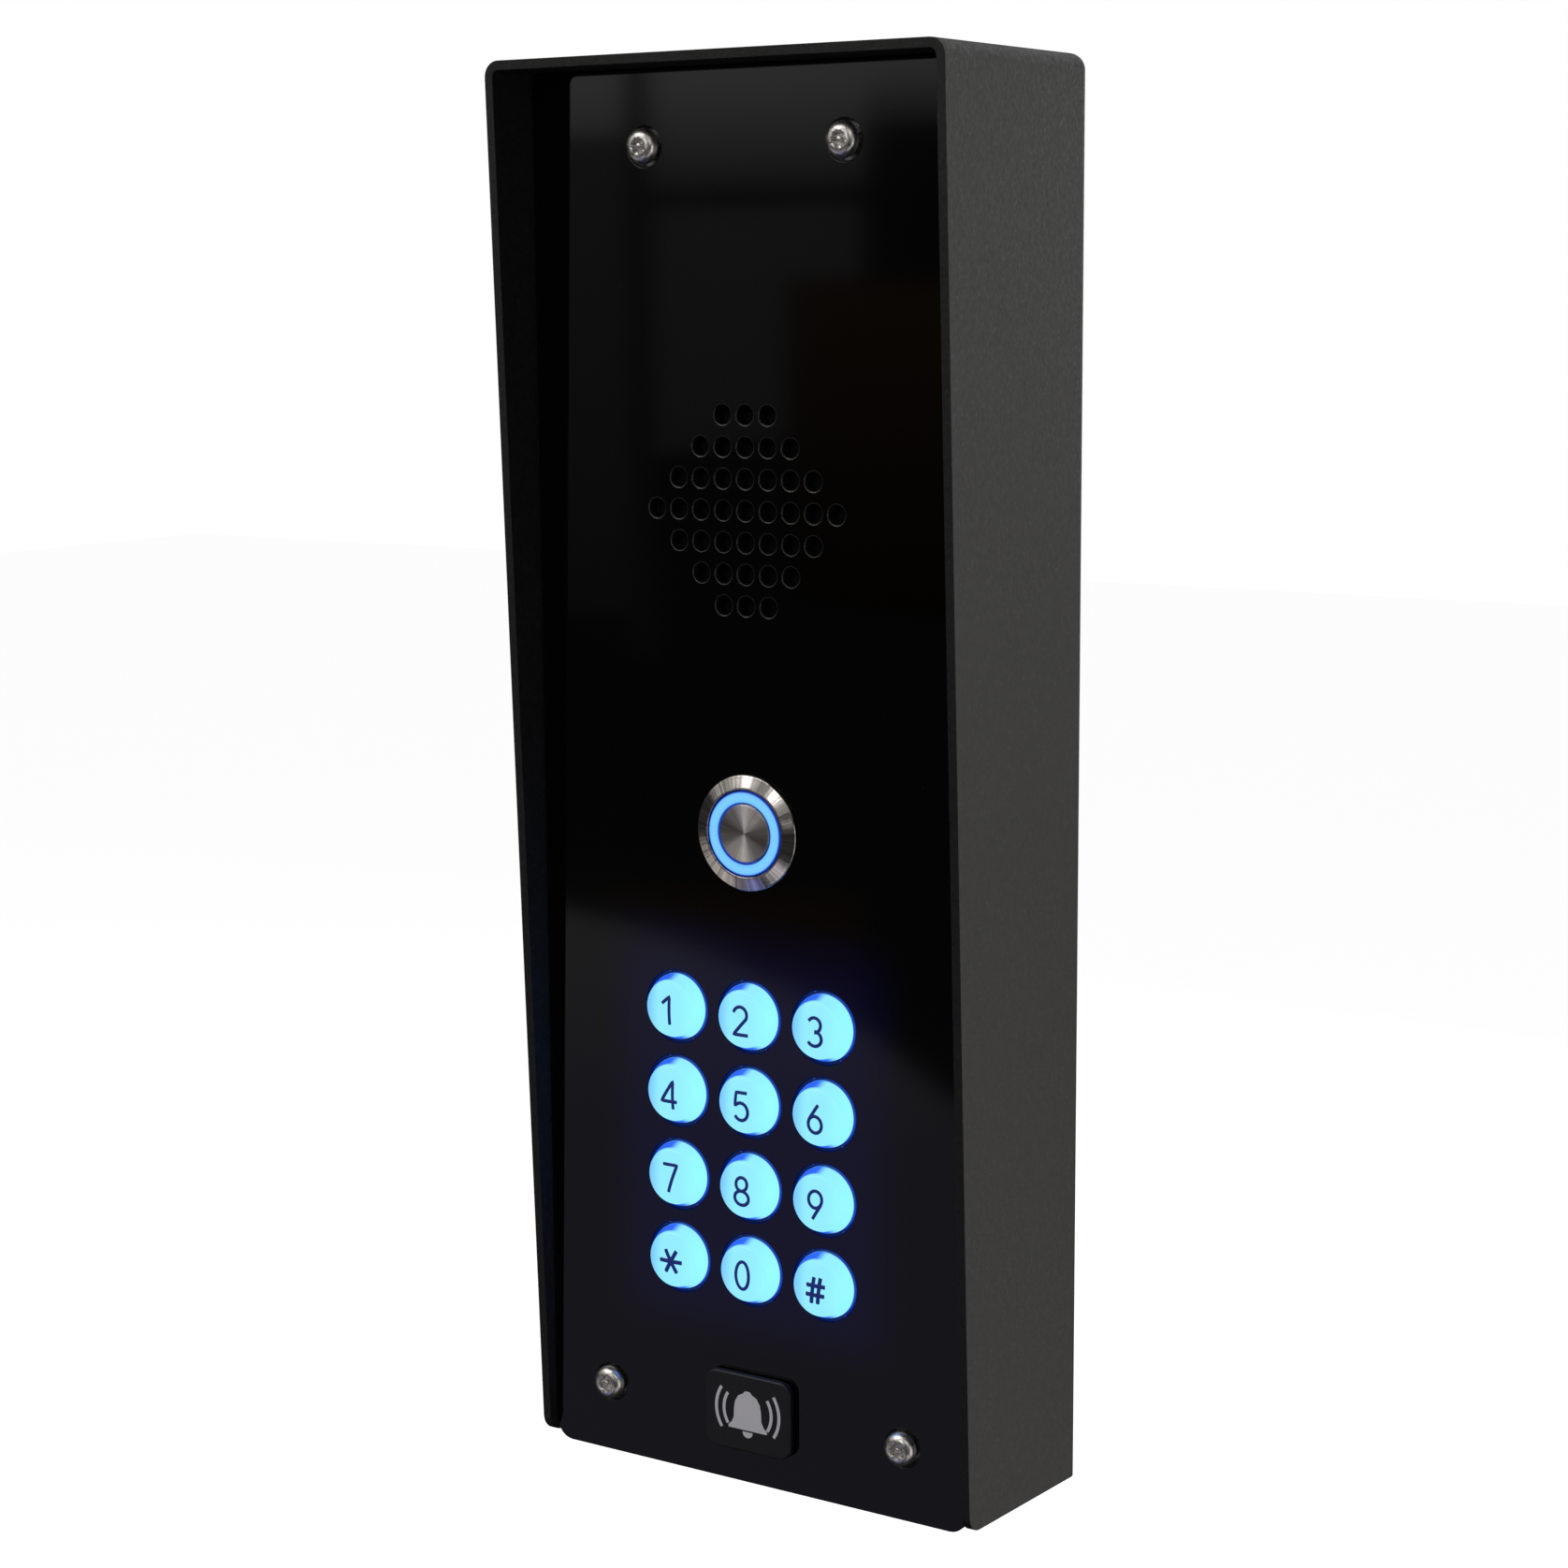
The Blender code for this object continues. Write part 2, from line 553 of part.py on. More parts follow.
def keypad_ribbon(plastic):
    """Flat cable from the keypad board up to the main board, moulded into its two plugs."""
    thick, plug, plug_half, slack = 0.0009, 0.004, 0.003, 0.0022
    x_low, x_high = -0.036, -0.022
    low_z, high_z = -0.053, 0.043
    low_y = FASCIA_Y + KEYPAD_BOARD_DEPTH + BOARD_THICK + GAP
    low_plug = low_y + plug
    high_y = BOARD_FRONT_Y - GAP
    high_plug = high_y - plug
    run_y = high_plug - slack
    outline = [
        (low_y, low_z - plug_half), (low_plug, low_z - plug_half), (low_plug, low_z - thick),
        (run_y, low_z - thick), (run_y, high_z - thick), (high_plug, high_z - thick),
        (high_plug, high_z - plug_half), (high_y, high_z - plug_half),
        (high_y, high_z + plug_half), (high_plug, high_z + plug_half), (high_plug, high_z),
        (run_y - thick, high_z), (run_y - thick, low_z), (low_plug, low_z),
        (low_plug, low_z + plug_half), (low_y, low_z + plug_half)]
    bm = bmesh.new()
    prism_mesh(bm, outline, x_low, x_high)
    add_object("keypad_ribbon", bm, plastic)


# ---------------------------------------------------------------- speaker and microphone

def speaker(steel, paper, magnet_steel, plastic, cloth):
    spot = (0, FASCIA_Y, GRILLE_Z)
    seat = PLATE_BACK_DEPTH + GAP
    cloth_back = PLATE_DEPTH + CLOTH_THICK
    lathe("speaker_mesh", [(0, PLATE_DEPTH), (CLOTH_R, PLATE_DEPTH), (CLOTH_R, cloth_back),
                           (0, cloth_back)], 32, cloth, spot)

    rim_back, floor, sheet = seat + 0.0012, seat + 0.0105, 0.001
    rim_r, basket_r, floor_r, hole_r = 0.0225, 0.0236, 0.0150, 0.0070
    lathe("speaker_frame", [
        (rim_r, seat), (SPEAKER_R, seat), (SPEAKER_R, rim_back), (basket_r, rim_back),
        (floor_r, floor), (hole_r, floor), (hole_r, floor - sheet),
        (floor_r - sheet / 2, floor - sheet), (rim_r - GAP / 3, rim_back + sheet / 5)],
        24, steel, spot)

    paper_thick, rim_front = 0.0004, seat + 0.0004
    cone_r, fold_r, neck_r = 0.0221, 0.0200, 0.0055
    neck, middle = seat + 0.0064, seat + 0.0042
    lathe("speaker_cone", [
        (0, middle), (neck_r, neck), (fold_r, rim_front), (cone_r, rim_front),
        (cone_r, rim_front + paper_thick), (fold_r, rim_front + paper_thick),
        (neck_r, neck + 1.5 * paper_thick), (0, middle + 1.5 * paper_thick)], 24, paper, spot)

    magnet_r, magnet_end = 0.0125, floor + 0.0062
    lathe("speaker_magnet", [(0, floor + GAP), (magnet_r, floor + GAP), (magnet_r, magnet_end),
                             (0, magnet_end)], 24, magnet_steel, spot)

    inner, outer, lip = SPEAKER_R + GAP, SPEAKER_R + 0.0035, SPEAKER_WINDOW_R
    lip_front = rim_back + GAP
    lip_back = lip_front + 0.0012
    lathe("speaker_clamp", [(inner, seat), (outer, seat), (outer, lip_back), (lip, lip_back),
                            (lip, lip_front), (inner, lip_front)], 24, plastic, spot)


def microphone(metal, rubber):
    """Capsule in a rubber boot over the port in the bottom plate."""
    spot = (0, MIC_Y, -INNER_Z + GAP)
    capsule_r, capsule_end, floor = 0.0030, 0.0066, 0.0015
    pocket_r, boot_r, boot_end, port_r = capsule_r + GAP, 0.0052, 0.0072, 0.0012
    lathe("microphone_boot", [
        (port_r, 0), (boot_r, 0), (boot_r, boot_end), (pocket_r, boot_end), (pocket_r, floor),
        (port_r, floor)], 20, rubber, spot, axis="Z")
    capsule = floor + GAP
    lathe("microphone_capsule", [(0, capsule), (capsule_r, capsule), (capsule_r, capsule_end),
                                 (0, capsule_end)], 20, metal, spot, axis="Z")


# ---------------------------------------------------------------- main board

def board_fixings():
    x, inset = BOARD_FIXING
    return [(side * x, z) for side in (-1, 1) for z in (BOARD_Z[0] + inset, BOARD_Z[1] - inset)]


def main_board(fibreglass, brass, steel):
    back_y = BOARD_FRONT_Y + BOARD_THICK
    board = rounded_plate("main_board", BOARD_X, BOARD_Z[0], BOARD_Z[1], BOARD_FRONT_Y, back_y,
                          BOARD_CORNER, fibreglass)
    combine(board, drill("board_holes", board_fixings(), BOARD_HOLE_R, BOARD_FRONT_Y - OVERCUT,
                         back_y + OVERCUT, 12), "DIFFERENCE")

    seat, brow, top, end = -GAP, -0.0011, -0.0022, 0.0060
    head_r, top_r, shank_r = 0.0028, 0.0022, 0.0012
    screw = [(0, top), (top_r, top), (head_r, brow), (head_r, seat), (shank_r, seat),
             (shank_r, end), (0, end)]
    bore_r, post_r = 0.0015, 0.0030
    post_front, post_end = BOARD_THICK + GAP, BOARD_THICK + BOARD_LIFT
    post = [(bore_r, post_front), (post_r, post_front), (post_r, post_end), (bore_r, post_end)]
    for number, (x, z) in enumerate(board_fixings(), start=1):
        lathe(f"board_screw_{number}", screw, 12, steel, (x, BOARD_FRONT_Y, z))
        lathe(f"board_standoff_{number}", post, 12, brass, (x, BOARD_FRONT_Y, z))


def terminal_block(name, x_low, poles, plastic):
    """Screw terminals: each pole has a wire mouth below and a screw well in front."""
    back = BOARD_FRONT_Y - GAP
    front = back - TERMINAL_DEPTH
    z_low, z_high = BOARD_Z[0] + TERMINAL_Z[0], BOARD_Z[0] + TERMINAL_Z[1]
    block = box(name, (x_low, front, z_low), (x_low + poles * POLE_PITCH, back, z_high), plastic)
    half, mouth_y, mouth_height = 0.0015, (back - 0.005, back - 0.002), 0.004
    well_half, well_depth, well_z = 0.0014, 0.003, (z_high - 0.0050, z_high - 0.0022)
    bm = bmesh.new()
    for pole in range(poles):
        x = x_low + (pole + 0.5) * POLE_PITCH
        box_mesh(bm, (x - half, mouth_y[0], z_low - OVERCUT),
                 (x + half, mouth_y[1], z_low + mouth_height))
        box_mesh(bm, (x - well_half, front - OVERCUT, well_z[0]),
                 (x + well_half, front + well_depth, well_z[1]))
    combine(block, add_object(name + "_mouths", bm, None), "DIFFERENCE")


def board_components(green, blue, tin, dark):
    """Terminal blocks and the parts on the board: x range, height off the board, z range."""
    terminal_block("power_terminals", -0.020, 4, green)
    terminal_block("lock_terminals", 0.004, 4, green)
    back = BOARD_FRONT_Y - GAP
    parts = (("lock_relay", (0.010, 0.029), 0.0152, (0.084, 0.1005), blue),
             ("radio_module", (-0.030, -0.002), 0.0030, (0.076, 0.100), tin),
             ("processor", (-0.006, 0.006), 0.0014, (0.050, 0.062), dark))
    for name, x_range, height, z_range, mat in parts:
        box(name, (x_range[0], back - height, z_range[0]), (x_range[1], back, z_range[1]), mat)


# ---------------------------------------------------------------- assembly

def build():
    clear_scene()
    paint = material("black_powder_coat", (0.030, 0.029, 0.028), 0.55)
    acrylic = material("black_acrylic", (0.004, 0.004, 0.005), 0.06)
    plate_steel = material("zinc_plate", (0.45, 0.45, 0.46), 0.40, 1.0)
    bright_steel = material("stainless_steel", (0.55, 0.54, 0.52), 0.25, 1.0)
    brass = material("brass", (0.60, 0.45, 0.20), 0.35, 1.0)
    lens = material("blue_lit_lens", (0.30, 0.75, 1.0), 0.35)
    rubber = material("black_rubber", (0.015, 0.015, 0.015), 0.85)
    silicone = material("grey_silicone", (0.35, 0.36, 0.38), 0.70)
    fibreglass = material("board_green", (0.02, 0.12, 0.05), 0.45)
    dark_plastic = material("dark_plastic", (0.02, 0.02, 0.022), 0.50)
    plaque = material("plaque", (0.012, 0.012, 0.018), 0.55)
    green_plastic = material("terminal_green", (0.03, 0.25, 0.08), 0.45)
    blue_plastic = material("relay_blue", (0.02, 0.07, 0.30), 0.40)
    tin = material("tinned_can", (0.60, 0.60, 0.58), 0.30, 1.0)
    magnet_steel = material("magnet_steel", (0.22, 0.22, 0.23), 0.45, 1.0)
    paper = material("cone_paper", (0.03, 0.03, 0.03), 0.90)
    cloth = material("acoustic_cloth", (0.006, 0.006, 0.007), 0.95)

    hood_housing(paint)
    cable_grommet(rubber)
    gloss_fascia(acrylic)
    backing_plate(plate_steel)
    panel_gasket(rubber)
    badge(plaque)
    panel_screws(bright_steel)
    call_spot = (0, FASCIA_Y, CALL_Z)
    call_bezel(bright_steel, call_spot)
    call_cap_and_ring(bright_steel, lens, bright_steel, call_spot)
    call_fittings(rubber, brass, dark_plastic, call_spot)
    keys(lens)
    keypad_parts(silicone, fibreglass, brass)
    keypad_ribbon(dark_plastic)
    speaker(plate_steel, paper, magnet_steel, dark_plastic, cloth)
    microphone(tin, rubber)
    main_board(fibreglass, brass, bright_steel)
    board_components(green_plastic, blue_plastic, tin, dark_plastic)


build()
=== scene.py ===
"""Looks for the door intercom panel: fine surfaces, procedural materials, light and camera."""
import math

import bmesh
import bpy
from mathutils import Matrix, Vector

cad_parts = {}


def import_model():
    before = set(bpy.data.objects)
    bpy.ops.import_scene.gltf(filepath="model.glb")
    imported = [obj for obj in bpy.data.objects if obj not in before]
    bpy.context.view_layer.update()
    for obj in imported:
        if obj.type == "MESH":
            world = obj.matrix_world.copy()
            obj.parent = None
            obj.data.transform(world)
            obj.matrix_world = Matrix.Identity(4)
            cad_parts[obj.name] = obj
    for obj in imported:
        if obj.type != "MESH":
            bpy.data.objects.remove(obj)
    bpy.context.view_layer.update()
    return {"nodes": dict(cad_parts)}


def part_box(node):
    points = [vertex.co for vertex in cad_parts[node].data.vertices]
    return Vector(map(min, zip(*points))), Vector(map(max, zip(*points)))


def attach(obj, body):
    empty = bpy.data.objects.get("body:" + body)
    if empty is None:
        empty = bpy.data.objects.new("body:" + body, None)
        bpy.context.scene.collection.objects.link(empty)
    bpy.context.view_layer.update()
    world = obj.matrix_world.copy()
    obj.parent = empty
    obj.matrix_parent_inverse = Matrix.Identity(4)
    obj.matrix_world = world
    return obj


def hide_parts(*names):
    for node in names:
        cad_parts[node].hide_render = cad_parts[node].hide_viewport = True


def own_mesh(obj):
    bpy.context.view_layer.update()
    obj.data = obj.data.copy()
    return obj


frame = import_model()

NODES = frame["nodes"]
SCENE = bpy.context.scene


def four(stem):
    return ["%s_%d" % (stem, n) for n in (1, 2, 3, 4)]


def middle(node):
    low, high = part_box(node)
    return (low + high) / 2


SHELL_LOW, SHELL_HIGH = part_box("hood_housing")
FASCIA_LOW, FASCIA_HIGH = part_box("gloss_fascia")
FRONT = FASCIA_LOW.y
FASCIA_THICK = FASCIA_HIGH.y - FASCIA_LOW.y
SHEET = 0.002
GAP = 0.0003                 # space left between pieces that touch
TOP_Z = SHELL_HIGH.z
HALF_X = SHELL_HIGH.x
INNER_X = HALF_X - SHEET

# Housing
NOSE_PROUD = 0.0022          # how far the side walls stand past the fascia at the bottom
NOSE_RADIUS = 0.004
BEND_RADIUS = 0.0035
TOP_TAB = (0.040, 0.126)     # half width, free edge's height
BOTTOM_TAB = (0.050, -0.129)
TAB_HOLE_R = 0.0022
WALL_HOLE = (0.040, 0.115)
WALL_HOLE_R = 0.0032
CABLE_HOLE_R = 0.010
MIC_PORT = (0.0015, -0.020)  # radius, depth position
BROKEN_EDGE = 0.00028

# Fascia
CORNER = 0.004
TOP_CORNER = 0.001
CHAMFER = 0.0003
GRILLE_ROWS = (3, 5, 7, 9, 7, 5, 3)
GRILLE_PITCH = (0.00563, 0.00665)
GRILLE_HOLE_R = 0.00235
KEY_HOLE_R = 0.0082
SCREW_WINDOW_R = 0.00455
CALL_HOLE_R = 0.0112

# Print on the keys
LEGEND_HEIGHT = 0.0061
LEGEND_FLAT = 0.3            # thickness of a stroke over its width
LEGEND_STROKE = 0.00040      # half width: digits, then the star and the hash
LEGEND_SIGN_STROKE = 0.00048

KEYS = ["1", "2", "3", "4", "5", "6", "7", "8", "9", "star", "0", "hash"]
SCREWS = four("panel_screw")


# ------------------------------------------------------------------ materials

class Look:
    """A Principled material with short ways to add procedural nodes."""

    def __init__(self, name, colour, rough, metal=0.0, **extra):
        self.mat = bpy.data.materials.new(name)
        self.mat.use_nodes = True
        self.tree = self.mat.node_tree
        self.shader = self.tree.nodes["Principled BSDF"]
        self.shader.inputs["Base Color"].default_value = (*colour, 1)
        self.shader.inputs["Roughness"].default_value = rough
        self.shader.inputs["Metallic"].default_value = metal
        for key, value in extra.items():
            self.shader.inputs[key.replace("_", " ")].default_value = value
        self.place = self.node("ShaderNodeTexCoord").outputs["Object"]
        self.normal = None

    def node(self, kind, **settings):
        made = self.tree.nodes.new(kind)
        for key, value in settings.items():
            setattr(made, key, value)
        return made

    def link(self, source, target):
        self.tree.links.new(source, target)

    def mapped(self, scale):
        """Object coordinates stretched along each axis."""
        m = self.node("ShaderNodeMapping")
        self.link(self.place, m.inputs["Vector"])
        m.inputs["Scale"].default_value = scale
        return m.outputs["Vector"]

    def noise(self, scale, detail=3.0, rough=0.55, vector=None):
        n = self.node("ShaderNodeTexNoise")
        n.inputs["Scale"].default_value = scale
        n.inputs["Detail"].default_value = detail
        n.inputs["Roughness"].default_value = rough
        self.link(vector or self.place, n.inputs["Vector"])
        return n.outputs["Fac"]

    def cells(self, scale, vector=None):
        n = self.node("ShaderNodeTexVoronoi")
        n.inputs["Scale"].default_value = scale
        self.link(vector or self.place, n.inputs["Vector"])
        return n.outputs["Distance"]

    def remap(self, value, low, high, to_low, to_high, smooth=False):
        n = self.node("ShaderNodeMapRange")
        if smooth:
            n.interpolation_type = "SMOOTHSTEP"
        for slot, number in zip(("From Min", "From Max", "To Min", "To Max"),
                                (low, high, to_low, to_high)):
            n.inputs[slot].default_value = number
        self.link(value, n.inputs["Value"])
        return n.outputs["Result"]

    def math(self, op, a, b=None):
        n = self.node("ShaderNodeMath", operation=op)
        for slot, value in zip(n.inputs, (a, b)):
            if value is None:
                continue
            if isinstance(value, (int, float)):
                slot.default_value = value
            else:
                self.link(value, slot)
        return n.outputs[0]

    def parts(self):
        n = self.node("ShaderNodeSeparateXYZ")
        self.link(self.place, n.inputs[0])
        return n.outputs["X"], n.outputs["Y"], n.outputs["Z"]

    def radius(self, x, z):
        """Distance from the object's own Y axis."""
        squares = self.math("ADD", self.math("MULTIPLY", x, x), self.math("MULTIPLY", z, z))
        return self.math("SQRT", squares)

    def blend(self, factor, a, b):
        """Mix two colours, each a tuple or a socket, by a socket."""
        n = self.node("ShaderNodeMix", data_type="RGBA")
        self.link(factor, n.inputs["Factor"])
        for slot, value in ((n.inputs[6], a), (n.inputs[7], b)):
            if isinstance(value, tuple):
                slot.default_value = (*value, 1)
            else:
                self.link(value, slot)
        return n.outputs[2]

    def ramp(self, value, stops):
        n = self.node("ShaderNodeValToRGB")
        while len(n.color_ramp.elements) < len(stops):
            n.color_ramp.elements.new(0.5)
        for element, (at, colour) in zip(n.color_ramp.elements, stops):
            element.position = at
            element.color = (*colour, 1)
        self.link(value, n.inputs["Fac"])
        return n.outputs["Color"]

    def set(self, slot, source):
        self.link(source, self.shader.inputs[slot])

    def bump(self, height, distance, strength=1.0):
        """Bumps stack: each new one starts from the last."""
        n = self.node("ShaderNodeBump")
        n.inputs["Distance"].default_value = distance
        n.inputs["Strength"].default_value = strength
        self.link(height, n.inputs["Height"])
        if self.normal:
            self.link(self.normal, n.inputs["Normal"])
        self.normal = n.outputs["Normal"]
        self.set("Normal", self.normal)


def powder_coat():
    """Fine-textured black powder coat: grit, orange peel, faint dust and rubbed patches."""
    look = Look("powder_coat", (0.035, 0.034, 0.032), 0.5, Specular_IOR_Level=0.36)
    grit = look.noise(1900, 2.0, 0.6)
    peel = look.noise(1050, 2.0, 0.5)
    cloud = look.noise(26, 4.0, 0.6)
    tone = look.blend(look.remap(peel, 0.34, 0.66, 0.0, 1.0), (0.0295, 0.0288, 0.0274),
                      (0.0425, 0.0416, 0.0396))
    tone = look.blend(look.remap(grit, 0.52, 0.74, 0.0, 0.6), tone, (0.058, 0.0568, 0.0545))
    tone = look.blend(look.remap(cloud, 0.42, 0.75, 0.0, 0.4), tone, (0.047, 0.0460, 0.0438))
    mottle = look.noise(520, 3.0, 0.7)
    tone = look.blend(look.remap(mottle, 0.40, 0.70, 0.0, 0.72), tone, (0.060, 0.0583, 0.0551))
    flecks = look.remap(look.cells(430), 0.10, 0.22, 0.8, 0.0)
    tone = look.blend(flecks, tone, (0.072, 0.070, 0.066))
    look.set("Base Color", tone)
    look.set("Roughness", look.remap(peel, 0.3, 0.7, 0.44, 0.62))
    look.bump(mottle, 0.00010, 0.7)
    look.bump(peel, 0.00007, 0.8)
    look.bump(grit, 0.00004, 0.8)
    return look.mat


def gloss_acrylic():
    """Mirror-gloss black acrylic: wipe marks, dust and a faint painted blue glow of the keys'
    light round the keypad.
    """
    look = Look("gloss_acrylic", (0.0032, 0.0032, 0.0038), 0.05)
    wipe = look.noise(9, 4.0, 0.6, look.mapped((1.0, 1.0, 0.35)))
    speck = look.cells(260)
    near = look.remap(speck, 0.02, 0.05, 1.0, 0.0)
    rare = look.remap(look.noise(40, 1.0), 0.62, 0.66, 0.0, 1.0)
    spots = look.math("MULTIPLY", near, rare)
    look.set("Base Color", look.blend(spots, (0.0032, 0.0032, 0.0038), (0.05, 0.05, 0.05)))
    haze = look.remap(wipe, 0.35, 0.75, 0.045, 0.075)
    look.set("Roughness", look.math("ADD", haze, look.math("MULTIPLY", spots, 0.3)))
    look.bump(look.noise(14, 2.0, 0.5), 0.00003, 0.15)
    # Painted light: a faint blue emission round the keypad stands in for the keys' light falling
    # on the acrylic.
    low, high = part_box("key_star")[0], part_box("key_3")[1]
    x, _, z = look.parts()
    inside = look.remap(look.math("ABSOLUTE", x), high.x - 0.004, high.x + 0.014, 1.0, 0.0, True)
    above = look.remap(z, low.z - 0.012, low.z + 0.004, 0.0, 1.0, True)
    below = look.remap(z, high.z - 0.004, high.z + 0.016, 1.0, 0.0, True)
    glow = look.math("MULTIPLY", inside, look.math("MULTIPLY", above, below))
    look.shader.inputs["Emission Color"].default_value = (0.10, 0.08, 1.0, 1)
    look.set("Emission Strength", look.math("MULTIPLY", glow, 0.0125))
    return look.mat


def cut_edge():
    """Satin machined edge of the acrylic, around its holes and outline."""
    look = Look("acrylic_cut_edge", (0.030, 0.030, 0.031), 0.36)
    marks = look.noise(2200, 2.0, 0.6, look.mapped((1.0, 3.0, 1.0)))
    look.set("Base Color", look.blend(look.remap(marks, 0.3, 0.7, 0.0, 1.0),
                                      (0.024, 0.024, 0.025), (0.044, 0.044, 0.046)))
    look.set("Roughness", look.remap(marks, 0.3, 0.7, 0.30, 0.46))
    look.bump(marks, 0.00002, 0.5)
    return look.mat


def key_well():
    """Matt black edge of the holes that the keys stand in, with a little of their light painted on
    as a faint blue glow.
    """
    # Painted light: the faint blue emission stands in for the keys' light on the hole edges.
    look = Look("key_well", (0.002, 0.002, 0.004), 0.8, Specular_IOR_Level=0.08,
                Emission_Color=(0.0, 0.002, 0.05, 1), Emission_Strength=1.0)
    look.bump(look.noise(2200, 2.0, 0.6), 0.00002, 0.5)
    return look.mat


def turned_steel(name, colour, rough, stretch, streaks, depth):
    """Steel spun about its own Y axis: fine rings in the gloss, radial streaks in the colour."""
    look = Look(name, colour, rough, 1.0, Anisotropic=stretch, Anisotropic_Rotation=0.25)
    tangent = look.node("ShaderNodeTangent", direction_type="RADIAL", axis="Y")
    look.link(tangent.outputs[0], look.shader.inputs["Tangent"])
    x, _, z = look.parts()
    radius = look.radius(x, z)
    join = look.node("ShaderNodeCombineXYZ")
    look.link(look.math("MULTIPLY", radius, 9000.0), join.inputs[0])
    rings = look.noise(1.0, 2.0, 0.6, join.outputs[0])
    turn = look.math("ARCTAN2", z, x)
    sweep = look.node("ShaderNodeCombineXYZ")
    look.link(look.math("COSINE", turn), sweep.inputs[0])
    look.link(look.math("SINE", turn), sweep.inputs[1])
    rays = look.noise(streaks, 3.0, 0.65, sweep.outputs[0])
    dark = tuple(c * (1 - depth) for c in colour)
    light = tuple(min(1.0, c * (1 + depth)) for c in colour)
    look.set("Base Color", look.blend(look.remap(rays, 0.3, 0.7, 0.0, 1.0), dark, light))
    look.set("Roughness", look.remap(rings, 0.25, 0.75, rough * 0.8, rough * 1.2))
    return look.mat


def plain_metal(name, colour, rough, grain=(1, 1, 1), bump=0.4):
    """Sheet or machined metal with drawn grain and duller stains."""
    look = Look(name, colour, rough, 1.0)
    lines = look.noise(1200, 3.0, 0.6, look.mapped(grain))
    stain = look.noise(60, 3.0, 0.6)
    dull = tuple(c * 0.72 for c in colour)
    look.set("Base Color", look.blend(look.remap(stain, 0.35, 0.75, 0.0, 1.0), colour, dull))
    look.set("Roughness", look.remap(lines, 0.3, 0.7, rough * 0.75, rough * 1.35))
    look.bump(lines, 0.00001, bump)
    return look.mat


def moulded(name, colour, rough, grain=1800.0, depth=0.00002, shade=0.75):
    """Moulded plastic, rubber or foam: fine grain with slightly uneven colour and gloss."""
    look = Look(name, colour, rough)
    fine = look.noise(grain, 2.0, 0.6)
    wide = look.noise(90, 3.0, 0.55)
    dark = tuple(c * shade for c in colour)
    look.set("Base Color", look.blend(look.remap(wide, 0.3, 0.75, 0.0, 1.0), colour, dark))
    look.set("Roughness", look.remap(fine, 0.3, 0.7, rough * 0.88, min(1.0, rough * 1.12)))
    look.bump(fine, depth, 0.8)
    return look.mat


def circuit_board(name, mask, copper):
    """Solder mask over traces, with tinned pads."""
    look = Look(name, mask, 0.35)
    brick = look.node("ShaderNodeTexBrick", offset=0.37, squash=1.6, squash_frequency=3)
    x, _, z = look.parts()
    flat = look.node("ShaderNodeCombineXYZ")
    look.link(x, flat.inputs[0])
    look.link(z, flat.inputs[1])
    look.link(flat.outputs[0], brick.inputs["Vector"])
    brick.inputs["Scale"].default_value = 240
    brick.inputs["Mortar Size"].default_value = 0.05
    brick.inputs["Mortar Smooth"].default_value = 0.1
    tracks = brick.outputs["Fac"]
    pads = look.remap(look.cells(330, flat.outputs[0]), 0.12, 0.16, 1.0, 0.0)
    tone = look.blend(tracks, mask, copper)
    look.set("Base Color", look.blend(pads, tone, (0.62, 0.62, 0.58)))
    look.set("Metallic", look.math("MULTIPLY", pads, 0.9))
    look.set("Roughness", look.remap(look.noise(2000, 2.0), 0.3, 0.7, 0.28, 0.45))
    look.bump(tracks, 0.00003, 0.6)
    return look.mat


def woven(name, colour, pitch):
    """Plain weave of two thread directions, for the cloth behind the grille."""
    look = Look(name, colour, 0.95)
    x, _, z = look.parts()
    step = 2 * math.pi / pitch
    warp = look.math("SINE", look.math("MULTIPLY", x, step))
    weft = look.math("SINE", look.math("MULTIPLY", z, step))
    weave = look.math("MULTIPLY", warp, weft)
    height = look.remap(weave, -1.0, 1.0, 0.0, 1.0)
    pale = tuple(c * 2.2 for c in colour)
    look.set("Base Color", look.blend(height, colour, pale))
    look.bump(height, 0.0001, 0.9)
    return look.mat


